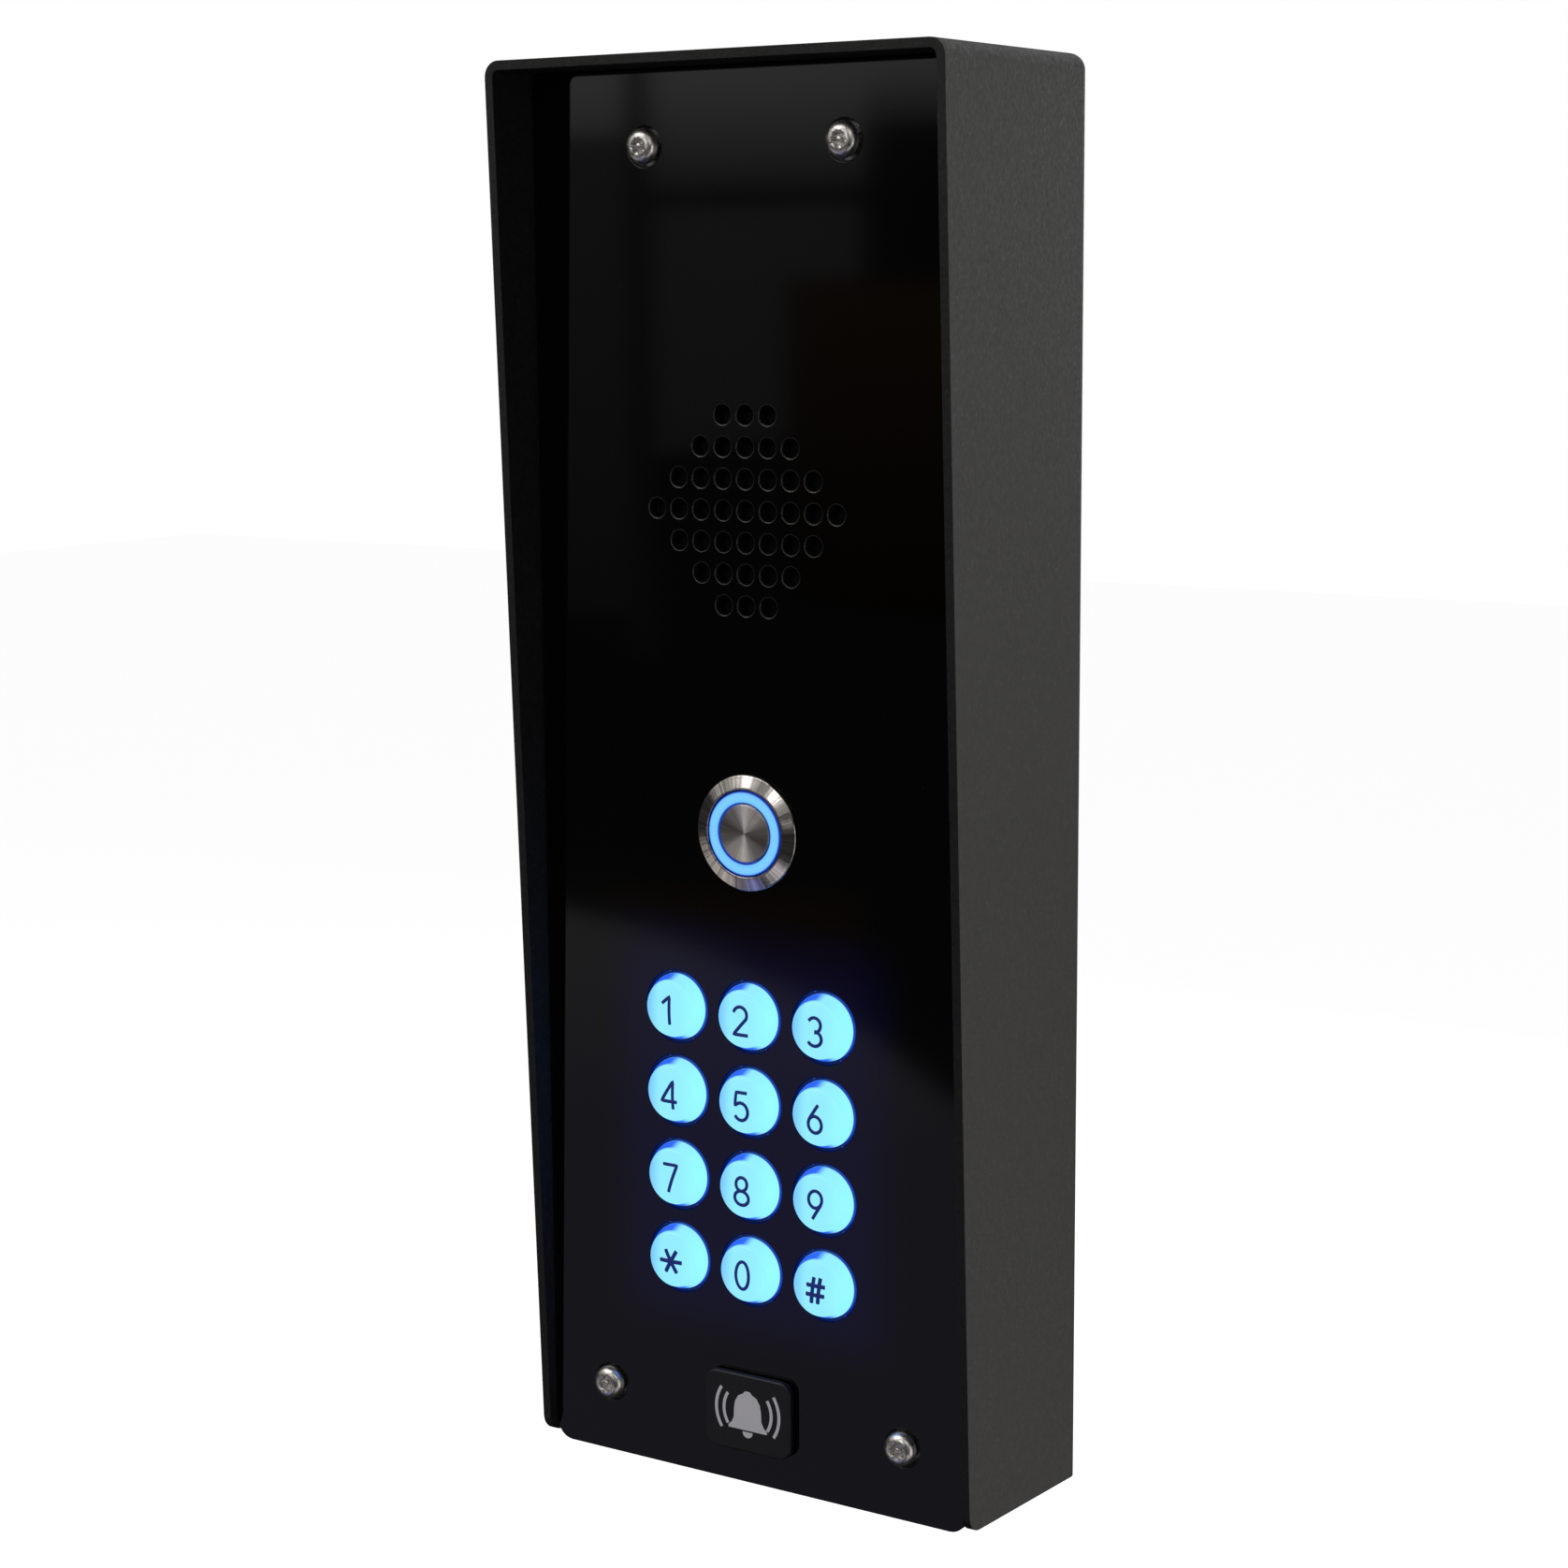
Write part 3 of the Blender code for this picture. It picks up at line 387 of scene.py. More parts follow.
def key_lens():
    """Key lit from behind, with painted shade and highlight: brighter to the right, deeper blue
    low on its left side and in the gap.

    Seen directly it shows these colours; onto other surfaces it casts a plain, stronger blue.
    """
    look = Look("key_lens", (0.02, 0.03, 0.05), 0.25)
    x, y, z = look.parts()
    radius = look.radius(x, z)
    # Painted shade and highlight: the face is bluer towards the left and whiter towards the right.
    painted_left_shade_fade = look.remap(x, -0.0062, -0.0022, 0.0, 1.0, True)
    face = look.blend(painted_left_shade_fade, (0.19, 0.58, 1.0), (0.296, 0.845, 0.99))
    painted_right_brightening = look.remap(x, 0.0015, 0.0065, 0.0, 1.0, True)
    face = look.blend(painted_right_brightening, face, (0.31, 0.96, 1.0))
    wide = look.math("MAXIMUM", radius, 0.001)
    lean = look.math("ADD", look.math("DIVIDE", x, wide),
                     look.math("MULTIPLY", look.math("DIVIDE", z, wide), 0.2))
    # Painted shade: deep blue low on the key's left side.
    painted_side_shade = look.math("MULTIPLY", look.remap(lean, 0.02, 0.40, 1.0, 0.0, True),
                       look.remap(y, -0.0027, -0.0019, 0.0, 1.0, True))
    side = look.blend(painted_side_shade, face, (0.022, 0.13, 0.90))
    # Painted shade: dark navy in the gap where the key sinks into its hole, darkest on the left.
    painted_gap_shade = look.blend(look.remap(lean, 0.2, 0.8, 0.0, 1.0, True), (0.0, 0.001, 0.035),
                      (0.0, 0.005, 0.24))
    gap = look.remap(y, 0.0, 0.0004, 0.0, 1.0, True)
    lens_colour_painted_shade = look.blend(gap, side, painted_gap_shade)
    direct = look.node("ShaderNodeLightPath").outputs["Is Camera Ray"]
    look.set("Emission Color", look.blend(direct, (0.07, 0.30, 1.0), lens_colour_painted_shade))
    look.set("Emission Strength", look.remap(direct, 0, 1, 2.6, 1.0))
    fine = look.noise(700, 2.0, 0.5)
    look.set("Roughness", look.remap(fine, 0.3, 0.7, 0.25, 0.38))
    look.bump(fine, 0.00001, 0.4)
    return look.mat


def legend_ink():
    """Dark blue print that a little of the key's light comes through."""
    look = Look("legend_ink", (0.004, 0.008, 0.06), 0.5)
    fine = look.noise(2500, 2.0)
    look.set("Emission Color", look.blend(look.remap(fine, 0.3, 0.7, 0.0, 1.0),
                                          (0.004, 0.012, 0.11), (0.006, 0.017, 0.15)))
    look.shader.inputs["Emission Strength"].default_value = 1.0
    look.set("Roughness", look.remap(fine, 0.3, 0.7, 0.4, 0.6))
    return look.mat


def badge_ink():
    """Pale print with a weak painted glow, standing in for light falling on it, so that it stays
    light on the dark plaque.
    """
    mat = moulded("badge_ink", (0.80, 0.79, 0.82), 0.45, 2500.0)
    shader = mat.node_tree.nodes["Principled BSDF"]
    # Painted light: the print glows faintly though it is no lamp.
    shader.inputs["Emission Color"].default_value = (0.95, 0.93, 1.0, 1)
    shader.inputs["Emission Strength"].default_value = 0.24
    return mat


# ------------------------------------------------------------------ shapes

def link(obj):
    SCENE.collection.objects.link(obj)
    return obj


def facing_y(face):
    return abs(face.normal.y) > 0.99999


def shade(bm, sharp, flat_y=False):
    """Smooth faces, hard edges sharp; flat_y also cuts the flat faces square to Y clean."""
    limit = math.radians(sharp)
    for face in bm.faces:
        face.smooth = True
    for edge in bm.edges:
        faces = edge.link_faces
        edge.smooth = len(faces) == 2 and faces[0].normal.angle(faces[1].normal, 0) < limit
        if flat_y and len(faces) == 2 and facing_y(faces[0]) != facing_y(faces[1]):
            edge.smooth = False


def settle(name, bm, mat, place=(0, 0, 0), sharp=35.0, flat_y=False):
    """A bmesh as a smooth-shaded object with hard edges kept sharp."""
    bmesh.ops.recalc_face_normals(bm, faces=bm.faces[:])
    bm.normal_update()
    shade(bm, sharp, flat_y)
    mesh = bpy.data.meshes.new(name)
    bm.to_mesh(mesh)
    bm.free()
    mesh.materials.append(mat)
    obj = link(bpy.data.objects.new(name, mesh))
    obj.location = place
    return obj


def lathe(name, profile, mat, place, steps=96, sharp=35.0):
    """Turn (radius, y) points about the Y axis through place."""
    bm = bmesh.new()
    verts = [bm.verts.new((r, y, 0)) for r, y in profile]
    pairs = list(zip(verts, verts[1:]))
    if profile[0][0] > 0:
        pairs.append((verts[-1], verts[0]))
    edges = [bm.edges.new(p) for p in pairs]
    bmesh.ops.spin(bm, geom=verts + edges, cent=(0, 0, 0), axis=(0, 1, 0), dvec=(0, 0, 0),
                   angle=2 * math.pi, steps=steps, use_merge=True, use_duplicate=False)
    bmesh.ops.remove_doubles(bm, verts=bm.verts[:], dist=1e-7)
    return settle(name, bm, mat, place, sharp)


def fillet(centre, radius, start, end, steps=5):
    """Points of an arc in (radius, y), angles in degrees."""
    made = []
    for i in range(steps + 1):
        a = math.radians(start + (end - start) * i / steps)
        made.append((centre[0] + radius * math.cos(a), centre[1] + radius * math.sin(a)))
    return made


def ring_points(x, z, radius, steps):
    return [(x + radius * math.cos(2 * math.pi * i / steps),
             z + radius * math.sin(2 * math.pi * i / steps)) for i in range(steps)]


def rounded_outline(low_x, high_x, low_z, high_z, radius, top_radius=None, steps=8):
    """Corner arcs of a rectangle; the upper two may have their own radius."""
    top = top_radius or radius
    points = []
    corners = ((high_x - top, high_z - top, 0, top), (low_x + top, high_z - top, 90, top),
               (low_x + radius, low_z + radius, 180, radius),
               (high_x - radius, low_z + radius, 270, radius))
    for x, z, start, size in corners:
        for i in range(steps + 1):
            a = math.radians(start + 90 * i / steps)
            points.append((x + size * math.cos(a), z + size * math.sin(a)))
    return points


def final_mesh(obj):
    """A new mesh of the object as it looks with its modifiers and bevels."""
    bpy.context.view_layer.update()
    depsgraph = bpy.context.evaluated_depsgraph_get()
    return bpy.data.meshes.new_from_object(obj.evaluated_get(depsgraph))


def plate(name, outlines, front, thick, chamfer, mat, place=(0, 0)):
    """A flat sheet in XZ from closed outlines (the first outside, the rest holes)."""
    curve = bpy.data.curves.new(name, "CURVE")
    curve.dimensions = "2D"
    curve.fill_mode = "BOTH"
    curve.extrude = thick / 2 - chamfer
    curve.bevel_depth = chamfer
    curve.bevel_resolution = 2
    curve.offset = -chamfer
    for points in outlines:
        spline = curve.splines.new("POLY")
        spline.points.add(len(points) - 1)
        for p, (x, z) in zip(spline.points, points):
            p.co = (x, z, 0, 1)
        spline.use_cyclic_u = True
    obj = link(bpy.data.objects.new(name, curve))
    obj.rotation_euler = (math.radians(90), 0, 0)
    obj.location = (place[0], front + thick / 2, place[1])
    shape = final_mesh(obj)
    shape.transform(Matrix.Rotation(math.radians(90), 4, "X"))
    bpy.data.objects.remove(obj)
    bm = bmesh.new()
    bm.from_mesh(shape)
    bmesh.ops.remove_doubles(bm, verts=bm.verts[:], dist=1e-7)
    return settle(name, bm, mat, (place[0], front + thick / 2, place[1]), 30.0, True)


def applied(obj):
    """Bake an object's modifiers into its mesh."""
    shape = final_mesh(obj)
    obj.modifiers.clear()
    obj.data = shape


# ------------------------------------------------------------------ housing

def near(a, b):
    return abs(a - b) < 1e-5


def fold(bm, radius, tests, steps):
    chosen = [e for e in bm.edges if any(all(t(v.co) for v in e.verts) for t in tests)]
    bmesh.ops.bevel(bm, geom=chosen, offset=radius, offset_type="OFFSET", segments=steps,
                    profile=0.5, affect="EDGES")


def prism(outline, low_x, high_x):
    bm = bmesh.new()
    face = bm.faces.new([bm.verts.new((low_x, y, z)) for y, z in outline])
    moved = [g for g in bmesh.ops.extrude_face_region(bm, geom=[face])["geom"]
             if isinstance(g, bmesh.types.BMVert)]
    bmesh.ops.translate(bm, verts=moved, vec=(high_x - low_x, 0, 0))
    return bm


def folds(half_x, back_y, high_z):
    return [lambda p: near(p.x, half_x) and near(p.y, back_y),
            lambda p: near(p.x, -half_x) and near(p.y, back_y),
            lambda p: near(p.x, half_x) and near(p.z, high_z),
            lambda p: near(p.x, -half_x) and near(p.z, high_z),
            lambda p: near(p.y, back_y) and near(p.z, high_z)]


def cutter_plate(low, high):
    bm = bmesh.new()
    low, high = Vector(low), Vector(high)
    bmesh.ops.create_cube(bm, size=1.0, matrix=Matrix.Translation((low + high) / 2)
                          @ Matrix.Diagonal((*(high - low), 1)))
    return bm


def round_cutter(bm, x, y_low, y_high, z, radius, steps=48):
    bmesh.ops.create_cone(bm, cap_ends=True, segments=steps, radius1=radius, radius2=radius,
                          depth=y_high - y_low, matrix=Matrix.Translation(
                              (x, (y_low + y_high) / 2, z)) @ Matrix.Rotation(math.pi / 2, 4, "X"))


def boolean(obj, bm, operation):
    bmesh.ops.recalc_face_normals(bm, faces=bm.faces[:])
    mesh = bpy.data.meshes.new("tool")
    bm.to_mesh(mesh)
    bm.free()
    tool = link(bpy.data.objects.new("tool", mesh))
    mod = obj.modifiers.new("cut", "BOOLEAN")
    mod.operation = operation
    mod.object = tool
    applied(obj)
    bpy.data.objects.remove(tool)


def housing(mat):
    """The folded shell again, with smooth bends and softly broken cut edges."""
    hood_y = SHELL_LOW.y
    nose_y = FRONT - NOSE_PROUD
    base_z = -TOP_Z
    tab_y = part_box("panel_gasket")[1].y + GAP
    bm = prism([(0, SHELL_LOW.z), (0, TOP_Z), (hood_y, TOP_Z), (nose_y, base_z)], -HALF_X, HALF_X)
    fold(bm, BEND_RADIUS, folds(HALF_X, 0, TOP_Z), 10)
    fold(bm, NOSE_RADIUS, [lambda p: near(p.y, nose_y) and near(p.z, base_z)], 10)
    shell = settle("housing_shell", bm, mat)

    floor_z = base_z + SHEET
    front = hood_y - 0.01
    under = SHELL_LOW.z - 0.003
    cavity = prism([(-SHEET, floor_z), (-SHEET, TOP_Z - SHEET), (front, TOP_Z - SHEET),
                    (front, under), (0.002, under), (0.002, base_z), (tab_y, base_z),
                    (tab_y, floor_z)], -INNER_X, INNER_X)
    fold(cavity, BEND_RADIUS - SHEET, folds(INNER_X, -SHEET, TOP_Z - SHEET), 8)
    boolean(shell, cavity, "DIFFERENCE")
    for half_x, low_z, high_z in ((TOP_TAB[0], TOP_TAB[1], TOP_Z - SHEET / 2),
                                  (BOTTOM_TAB[0], floor_z - SHEET / 2, BOTTOM_TAB[1])):
        boolean(shell, cutter_plate((-half_x, tab_y, low_z), (half_x, tab_y + SHEET, high_z)),
                "UNION")
    holes = bmesh.new()
    for name in SCREWS:
        spot = middle(name)
        round_cutter(holes, spot.x, tab_y - 0.002, tab_y + SHEET + 0.002, spot.z, TAB_HOLE_R)
    boolean(shell, holes, "DIFFERENCE")
    holes = bmesh.new()
    low_y, high_y = -0.005, 0.003
    for x in (-WALL_HOLE[0], WALL_HOLE[0]):
        for z in (-WALL_HOLE[1], WALL_HOLE[1]):
            round_cutter(holes, x, low_y, high_y, z, WALL_HOLE_R)
    round_cutter(holes, 0, low_y, high_y, middle("cable_grommet").z, CABLE_HOLE_R)
    boolean(shell, holes, "DIFFERENCE")
    port = bmesh.new()
    port_r, port_y = MIC_PORT
    bmesh.ops.create_cone(port, cap_ends=True, segments=24, radius1=port_r, radius2=port_r,
                          depth=0.01, matrix=Matrix.Translation((0, port_y, base_z)))
    boolean(shell, port, "DIFFERENCE")

    soften = shell.modifiers.new("broken_edges", "BEVEL")
    soften.width = BROKEN_EDGE
    soften.segments = 2
    soften.limit_method = "ANGLE"
    soften.angle_limit = math.radians(40)
    soften.use_clamp_overlap = True
    shell.data.shade_smooth()
    shell.data.set_sharp_from_angle(angle=math.radians(35))
    shell.modifiers.new("even_shading", "WEIGHTED_NORMAL")
    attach(shell, "root")
    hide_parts("hood_housing")


# ------------------------------------------------------------------ front panel

def grille_spots():
    centre = middle("speaker_mesh").z
    pitch_x, pitch_z = GRILLE_PITCH
    return [((i - (count - 1) / 2) * pitch_x, centre + (3 - row) * pitch_z)
            for row, count in enumerate(GRILLE_ROWS) for i in range(count)]


def fascia(mat):
    """The acrylic sheet: gloss on its flat faces, satin where it is cut, matt round the keys."""
    outlines = [rounded_outline(FASCIA_LOW.x, FASCIA_HIGH.x, FASCIA_LOW.z, FASCIA_HIGH.z,
                                CORNER, TOP_CORNER)]
    outlines += [ring_points(x, z, GRILLE_HOLE_R - CHAMFER, 32) for x, z in grille_spots()]
    for key in KEYS:
        spot = middle("key_" + key)
        outlines.append(ring_points(spot.x, spot.z, KEY_HOLE_R - CHAMFER, 72))
    for name in SCREWS:
        spot = middle(name)
        outlines.append(ring_points(spot.x, spot.z, SCREW_WINDOW_R - CHAMFER, 48))
    spot = middle("call_bezel")
    outlines.append(ring_points(spot.x, spot.z, CALL_HOLE_R, 72))
    sheet = plate("fascia_sheet", outlines, FRONT, FASCIA_THICK, CHAMFER, mat)
    sheet.data.materials.append(cut_edge())
    sheet.data.materials.append(key_well())
    pad = Vector((0.002, 0, 0.002))
    low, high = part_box("key_star")[0] - pad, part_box("key_3")[1] + pad
    for face in sheet.data.polygons:
        inside = low.x < face.center.x < high.x and low.z < face.center.z < high.z
        if facing_y(face):
            face.material_index = 0
        else:
            face.material_index = 2 if inside else 1
    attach(sheet, "root")
    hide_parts("gloss_fascia")


def badge(mat, ink):
    """The raised plaque with a generic bell and two sound waves on each side."""
    low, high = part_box("badge")
    spot = (low + high) / 2
    half_x, half_z = (high.x - low.x) / 2, (high.z - low.z) / 2
    plaque = plate("badge_plaque", [rounded_outline(-half_x, half_x, -half_z, half_z, 0.0028)],
                   low.y, high.y - low.y, 0.0004, mat, (spot.x, spot.z))
    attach(plaque, "root")
    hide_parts("badge")

    side = [(0.0, 0.0052), (0.0007, 0.0051), (0.0011, 0.0046), (0.0024, 0.0039), (0.0032, 0.0026),
            (0.0035, 0.0010), (0.0036, -0.0012), (0.0042, -0.0024), (0.0050, -0.0031),
            (0.0050, -0.0037), (0.0, -0.0037)]
    bell = side + [(-x, z) for x, z in reversed(side[1:-1])]
    clapper = [(0.0013 * math.cos(a), -0.0041 + 0.0013 * math.sin(a))
               for a in [math.radians(180 + 15 * i) for i in range(13)]]
    waves = []
    for side_sign in (-1, 1):
        for radius in (0.0062, 0.0082):
            outer, inner = [], []
            for i in range(15):
                a = math.radians(-34 + 68 * i / 14)
                outer.append((side_sign * (radius + 0.00035) * math.cos(a),
                              0.0006 + (radius + 0.00035) * math.sin(a)))
                inner.append((side_sign * (radius - 0.00035) * math.cos(a),
                              0.0006 + (radius - 0.00035) * math.sin(a)))
            waves.append(outer + inner[::-1])
    for name, outline in [("badge_bell", bell), ("badge_clapper", clapper)] + \
            [("badge_wave_%d" % n, w) for n, w in enumerate(waves, 1)]:
        mark = plate(name, [outline], low.y - 0.00012, 0.0002, 0.00003, ink, (spot.x, spot.z))
        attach(mark, "root")


def star_ring(bm, radius, lobe, y, steps=72):
    """A ring of points whose radius swings six times, for the screw's socket."""
    ring = []
    for i in range(steps):
        a = 2 * math.pi * i / steps
        r = radius + lobe * math.cos(6 * a)
        ring.append(bm.verts.new((r * math.cos(a), y, r * math.sin(a))))
    return ring


def bridge(bm, a, b):
    for i in range(len(a)):
        j = (i + 1) % len(a)
        bm.faces.new((a[i], a[j], b[j], b[i]))


def panel_screws(mat):
    """Button heads with a six-lobed socket round a pin, each turned to an angle of its own."""
    for turn, name in zip((10, 47, 22, 31), SCREWS):
        low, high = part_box(name)
        spot = (low + high) / 2
        top, end = low.y - FRONT, high.y - FRONT
        seat = -0.0004
        bm = bmesh.new()
        rings = [star_ring(bm, 0.0005, 0, top + 0.0002), star_ring(bm, 0.00062, 0, top + 0.0003),
                 star_ring(bm, 0.00064, 0, top + 0.0014),
                 star_ring(bm, 0.00158, 0.00024, top + 0.0014),
                 star_ring(bm, 0.00162, 0.00024, top + 0.00014),
                 star_ring(bm, 0.00178, 0.00018, top + 0.00003)]
        dome = [(0.0021, top + 0.00006), (0.0024, top + 0.00014), (0.0027, top + 0.00026),
                (0.0031, top + 0.00050), (0.0034, top + 0.00080), (0.00362, top + 0.00120),
                (0.00375, top + 0.00165), (0.0038, seat - 0.00006), (0.00372, seat),
                (0.0029, seat), (0.0029, 0.0030), (0.0019, 0.0030), (0.0019, end - 0.0004),
                (0.0015, end)]
        rings += [star_ring(bm, r, 0, y) for r, y in dome]
        bm.faces.new(rings[0])
        for a, b in zip(rings, rings[1:]):
            bridge(bm, a, b)
        bm.faces.new(rings[-1])
        screw = settle(name + "_button", bm, mat, (spot.x, FRONT, spot.z), 40.0)
        screw.rotation_euler = (0, math.radians(turn), 0)
        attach(screw, "root")
        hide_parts(name)


# ------------------------------------------------------------------ keypad

def arc(cx, cz, rx, rz, start, end, steps=14):
    return [(cx + rx * math.cos(math.radians(start + (end - start) * i / steps)),
             cz + rz * math.sin(math.radians(start + (end - start) * i / steps)))
            for i in range(steps + 1)]


GLYPHS = {
    "1": [[(-0.24, 0.24), (0.06, 0.5), (0.06, -0.5)]],
    "2": [arc(0, 0.21, 0.28, 0.29, 165, -25) + [(-0.29, -0.5), (0.31, -0.5)]],
    "3": [arc(-0.01, 0.24, 0.26, 0.26, 150, -80) + arc(-0.01, -0.23, 0.29, 0.27, 80, -152)],
    "4": [[(0.16, -0.5), (0.16, 0.5), (-0.32, -0.24), (0.34, -0.24)]],
    "5": [[(0.25, 0.5), (-0.20, 0.5), (-0.24, 0.04)] + arc(0, -0.18, 0.29, 0.32, 135, -150)],
    "6": [[(0.12, 0.5), (-0.20, 0.02)] + arc(0, -0.2, 0.27, 0.30, 150, 510, 26)],
    "7": [[(-0.29, 0.5), (0.29, 0.5), (-0.08, -0.5)]],
    "8": [arc(0, 0.26, 0.23, 0.24, -90, 270, 24), arc(0, -0.24, 0.29, 0.26, 90, 450, 26)],
    "9": [[(-0.12, -0.5), (0.20, -0.02)] + arc(0, 0.2, 0.27, 0.30, -30, 330, 26)],
    "0": [arc(0, 0, 0.27, 0.5, 90, 450, 34)],
    "star": [[(0.46 * math.cos(a), 0.46 * math.sin(a)), (-0.46 * math.cos(a), -0.46 * math.sin(a))]
             for a in (0, math.radians(60), math.radians(120))],
    "hash": [[(-0.07, 0.46), (-0.19, -0.46)], [(0.19, 0.46), (0.07, -0.46)],
             [(-0.36, 0.17), (0.38, 0.17)], [(-0.39, -0.17), (0.35, -0.17)]],
}


def crown(radius):
    """How far the key's domed face has fallen back at a distance from its centre."""
    return 0.0007 * (radius / 0.0058) ** 2


def subdivided(points, step):
    """The same line with a point at least every step."""
    made = [points[0]]
    for (ax, az), (bx, bz) in zip(points, points[1:]):
        count = max(1, math.ceil(math.hypot(bx - ax, bz - az) / step))
        made += [(ax + (bx - ax) * i / count, az + (bz - az) * i / count)
                 for i in range(1, count + 1)]
    return made


def legend(key, spot, ink):
    """Thin round-ended strokes printed on the key's face."""
    height, flat = LEGEND_HEIGHT, LEGEND_FLAT
    curve = bpy.data.curves.new("key_%s_legend" % key, "CURVE")
    curve.dimensions = "3D"
    curve.bevel_depth = LEGEND_STROKE if key.isdigit() else LEGEND_SIGN_STROKE
    curve.bevel_resolution = 3
    curve.use_fill_caps = True
    for line in GLYPHS[key]:
        points = subdivided(line, 0.06)
        spline = curve.splines.new("POLY")
        spline.points.add(len(points) - 1)
        for p, (x, z) in zip(spline.points, points):
            p.co = (x * height, crown(math.hypot(x, z) * height) / flat, z * height, 1)
    curve.materials.append(ink)
    mark = link(bpy.data.objects.new(curve.name, curve))
    mark.scale = (1, flat, 1)
    mark.location = (spot.x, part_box("key_" + key)[0].y - 0.00001, spot.z - 0.0002)
    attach(mark, "key_%s_body" % key)


def keys():
    lens, ink = key_lens(), legend_ink()
    for key in KEYS:
        node = "key_" + key
        low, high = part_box(node)
        spot = (low + high) / 2
        top = low.y - FRONT
        back = high.y - FRONT
        profile = [(r, top + crown(r)) for r in (0, 0.001, 0.002, 0.003, 0.004, 0.005)]
        profile += fillet((0.005613, top + 0.001282), 0.0006, -76, -18, 7)
        profile += [(0.0066, top + 0.0021), (0.0071, top + 0.0031), (0.00725, 0),
                    (0.00727, 0.0008), (0.0078, 0.0008),
                    (0.0078, 0.0056), (0.0087, 0.0056), (0.0087, 0.0066), (0.0022, 0.0066),
                    (0.0022, back), (0, back)]
        cap = lathe(node + "_lens", profile, lens, (spot.x, FRONT, spot.z), 72)
        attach(cap, node + "_body")
        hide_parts(node)
        legend(key, spot, ink)


# ------------------------------------------------------------------ call button

def call_button(bezel_mat, cap_mat, ring_mat):
    """Bezel, cap and ring light, all turned about one axis."""
    spot = middle("call_bezel")
    place = (spot.x, FRONT, spot.z)
    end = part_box("call_bezel")[1].y - FRONT
    bezel = [(0.0094, -0.00135)] + fillet((0.00955, -0.00138), 0.00018, 180, 285, 4)
    bezel += [(0.0098, -0.00153), (0.0100, -0.00147), (0.0117, -0.00093), (0.0119, -0.00086)]
    bezel += fillet((0.01218, -0.00048), 0.00031, -70, 0, 5)
    bezel += [(0.0125, -0.0003), (0.0108, -0.0003), (0.0108, end), (0.0094, end),
              (0.0094, 0.0200), (0.0036, 0.0200), (0.0036, 0.0185), (0.0094, 0.0185)]
    body = lathe("call_bezel_steel", bezel, bezel_mat, place, 144, 28.0)
    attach(body, "root")
    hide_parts("call_bezel")

    cap_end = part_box("call_cap")[1].y - FRONT
    cap = [(0, -0.00136), (0.0030, -0.00138), (0.0056, -0.00143)]
    cap += fillet((0.0060, -0.00118), 0.00028, -90, 0, 4)
    cap += [(0.0063, 0.0018), (0.0091, 0.0018), (0.0091, 0.0060), (0.0030, 0.0060),
            (0.0030, cap_end - 0.0004), (0.0026, cap_end), (0, cap_end)]
    disc = lathe("call_cap_steel", cap, cap_mat, place, 128)
    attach(disc, "call_button")
    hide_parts("call_cap")

    ring = [(0.0066, 0.0015), (0.0066, -0.0013)] + fillet((0.0069, -0.00125), 0.0003, 180, 270, 4)
    ring += fillet((0.0088, -0.00125), 0.0003, -90, 0, 4) + [(0.0091, 0.0015)]
    glow = lathe("call_ring_lens", ring, ring_mat, place, 128)
    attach(glow, "call_button")
    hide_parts("call_ring")


def call_spring(mat):
    """The return spring as a smooth coil with closed ends."""
    low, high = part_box("call_spring")
    spot = (low + high) / 2
    wire, turns, per_turn, closed = 0.00045, 5, 28, 0.75
    coil_r = (high.x - low.x) / 2 - wire
    length = high.y - low.y
    curve = bpy.data.curves.new("call_spring_coil", "CURVE")
    curve.dimensions = "3D"
    curve.bevel_depth = wire
    curve.bevel_resolution = 3
    curve.use_fill_caps = True
    spline = curve.splines.new("POLY")
    count = turns * per_turn
    spline.points.add(count)
    rest = length / 2 - wire
    rise = 2 * (rest - 2 * wire * closed) / (turns - 2 * closed)
    for i, p in enumerate(spline.points):
        turn = i / per_turn - turns / 2
        inner = max(-turns / 2 + closed, min(turns / 2 - closed, turn))
        depth = inner * rise / 2 + (turn - inner) * 2 * wire
        angle = 2 * math.pi * turn
        p.co = (coil_r * math.cos(angle), depth, coil_r * math.sin(angle), 1)
    curve.materials.append(mat)
    coil = link(bpy.data.objects.new("call_spring_coil", curve))
    shape = final_mesh(coil)
    bpy.data.objects.remove(coil)
    coil = link(bpy.data.objects.new("call_spring_coil", shape))
    coil.location = spot
    coil.data.shade_smooth()
    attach(coil, "root")
    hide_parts("call_spring")
    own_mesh(coil)


def ring_lens():
    """The call button's ring light, with painted shade making it bluer and darker at both rims."""
    look = Look("ring_lens", (0.02, 0.03, 0.05), 0.25)
    x, _, z = look.parts()
    radius = look.radius(x, z)
    share = look.remap(radius, 0.0065, 0.0091, 0.0, 1.0)
    # Painted shade: the colour falls to deep blue and navy at the inner and outer rims, where the
    # ring meets the cap and the bezel.
    colour = look.ramp(share, [(0.0, (0.0, 0.006, 0.12)), (0.05, (0.01, 0.05, 0.45)),
                               (0.13, (0.17, 0.56, 1.0)), (0.5, (0.215, 0.62, 1.0)),
                               (0.84, (0.18, 0.56, 1.0)), (0.92, (0.02, 0.10, 0.70)),
                               (1.0, (0.0, 0.01, 0.16))])
    look.set("Emission Color", colour)
    look.shader.inputs["Emission Strength"].default_value = 1.0
    fine = look.noise(900, 2.0, 0.5)
    look.set("Roughness", look.remap(fine, 0.3, 0.7, 0.2, 0.35))
    look.bump(fine, 0.00001, 0.4)
    return look.mat


# ------------------------------------------------------------------ light, floor and camera

